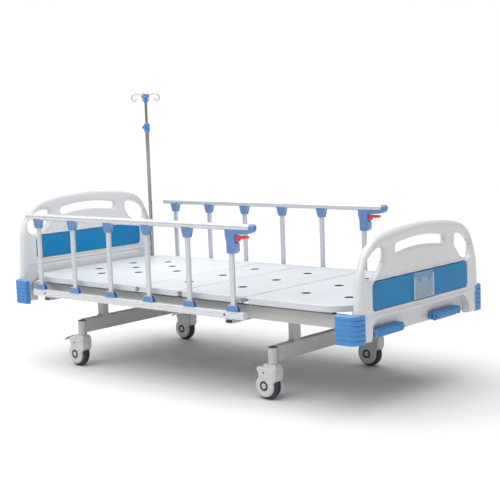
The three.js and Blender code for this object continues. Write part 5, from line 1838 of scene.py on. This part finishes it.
def add_spot(place, target):
    """A soft lamp over the foot end that picks out the inner face of the headboard."""
    lamp = bpy.data.lights.new("Headboard Light", "SPOT")
    lamp.energy = 95.0
    lamp.spot_size = math.radians(40)
    lamp.spot_blend = 1.0
    lamp.shadow_soft_size = 0.35
    light = bpy.data.objects.new("Headboard Light", lamp)
    light.location = place
    light.rotation_euler = (target - place).to_track_quat("-Z", "Y").to_euler()
    bpy.context.scene.collection.objects.link(light)


def add_light(name, place, target, size, power):
    """A round soft lamp turned towards the target."""
    lamp = bpy.data.lights.new(name, "AREA")
    lamp.shape = "DISK"
    lamp.size = size
    lamp.energy = power
    light = bpy.data.objects.new(name, lamp)
    light.location = place
    light.rotation_euler = (target - place).to_track_quat("-Z", "Y").to_euler()
    bpy.context.scene.collection.objects.link(light)


def add_camera(scene):
    """A long lens at standing height beyond the foot end, on the near side."""
    data = bpy.data.cameras.new("Camera")
    data.lens = 80.95
    data.sensor_width = 36.0
    camera = bpy.data.objects.new("Camera", data)
    right = Vector((0.7549, 0.6549, -0.0355)).normalized()
    up = Vector((-0.0511, 0.1128, 0.9923))
    up = (up - right * up.dot(right)).normalized()
    turn = Matrix((right, up, right.cross(up))).transposed().to_4x4()
    camera.matrix_world = Matrix.Translation((3.604, -3.993, 1.217)) @ turn
    scene.collection.objects.link(camera)
    scene.camera = camera


# ---- panel and registration ----------------------------------------------------------------
OPERATORS = (
    BED_OT_tube_frames, BED_OT_deck, BED_OT_end_boards, BED_OT_inserts, BED_OT_bumpers,
    BED_OT_guard_rails, BED_OT_casters, BED_OT_lifting_gear, BED_OT_drip_pole, BED_OT_fasteners,
    BED_OT_stage,
)


class BED_PT_pieces(bpy.types.Panel):
    """Lists the bed's pieces in the sidebar"""

    bl_idname = "BED_PT_pieces"
    bl_label = "Hospital Bed"
    bl_space_type = "VIEW_3D"
    bl_region_type = "UI"
    bl_category = "Bed"

    def draw(self, context):
        column = self.layout.column()
        for operator in OPERATORS:
            column.operator(operator.bl_idname)
        for name in BedSizes.__annotations__:
            column.prop(context.scene.bed_sizes, name)
        for name in BedColours.__annotations__:
            column.prop(context.scene.bed_colours, name)


CLASSES = (BedSizes, BedColours, *OPERATORS, BED_PT_pieces)


def register():
    for cls in CLASSES:
        bpy.utils.register_class(cls)
    bpy.types.Scene.bed_sizes = bpy.props.PointerProperty(type=BedSizes)
    bpy.types.Scene.bed_colours = bpy.props.PointerProperty(type=BedColours)


def unregister():
    del bpy.types.Scene.bed_colours
    del bpy.types.Scene.bed_sizes
    for cls in reversed(CLASSES):
        bpy.utils.unregister_class(cls)


def main():
    register()
    for operator in OPERATORS:
        group, name = operator.bl_idname.split(".")
        getattr(getattr(bpy.ops, group), name)()


if __name__ == "__main__":
    main()
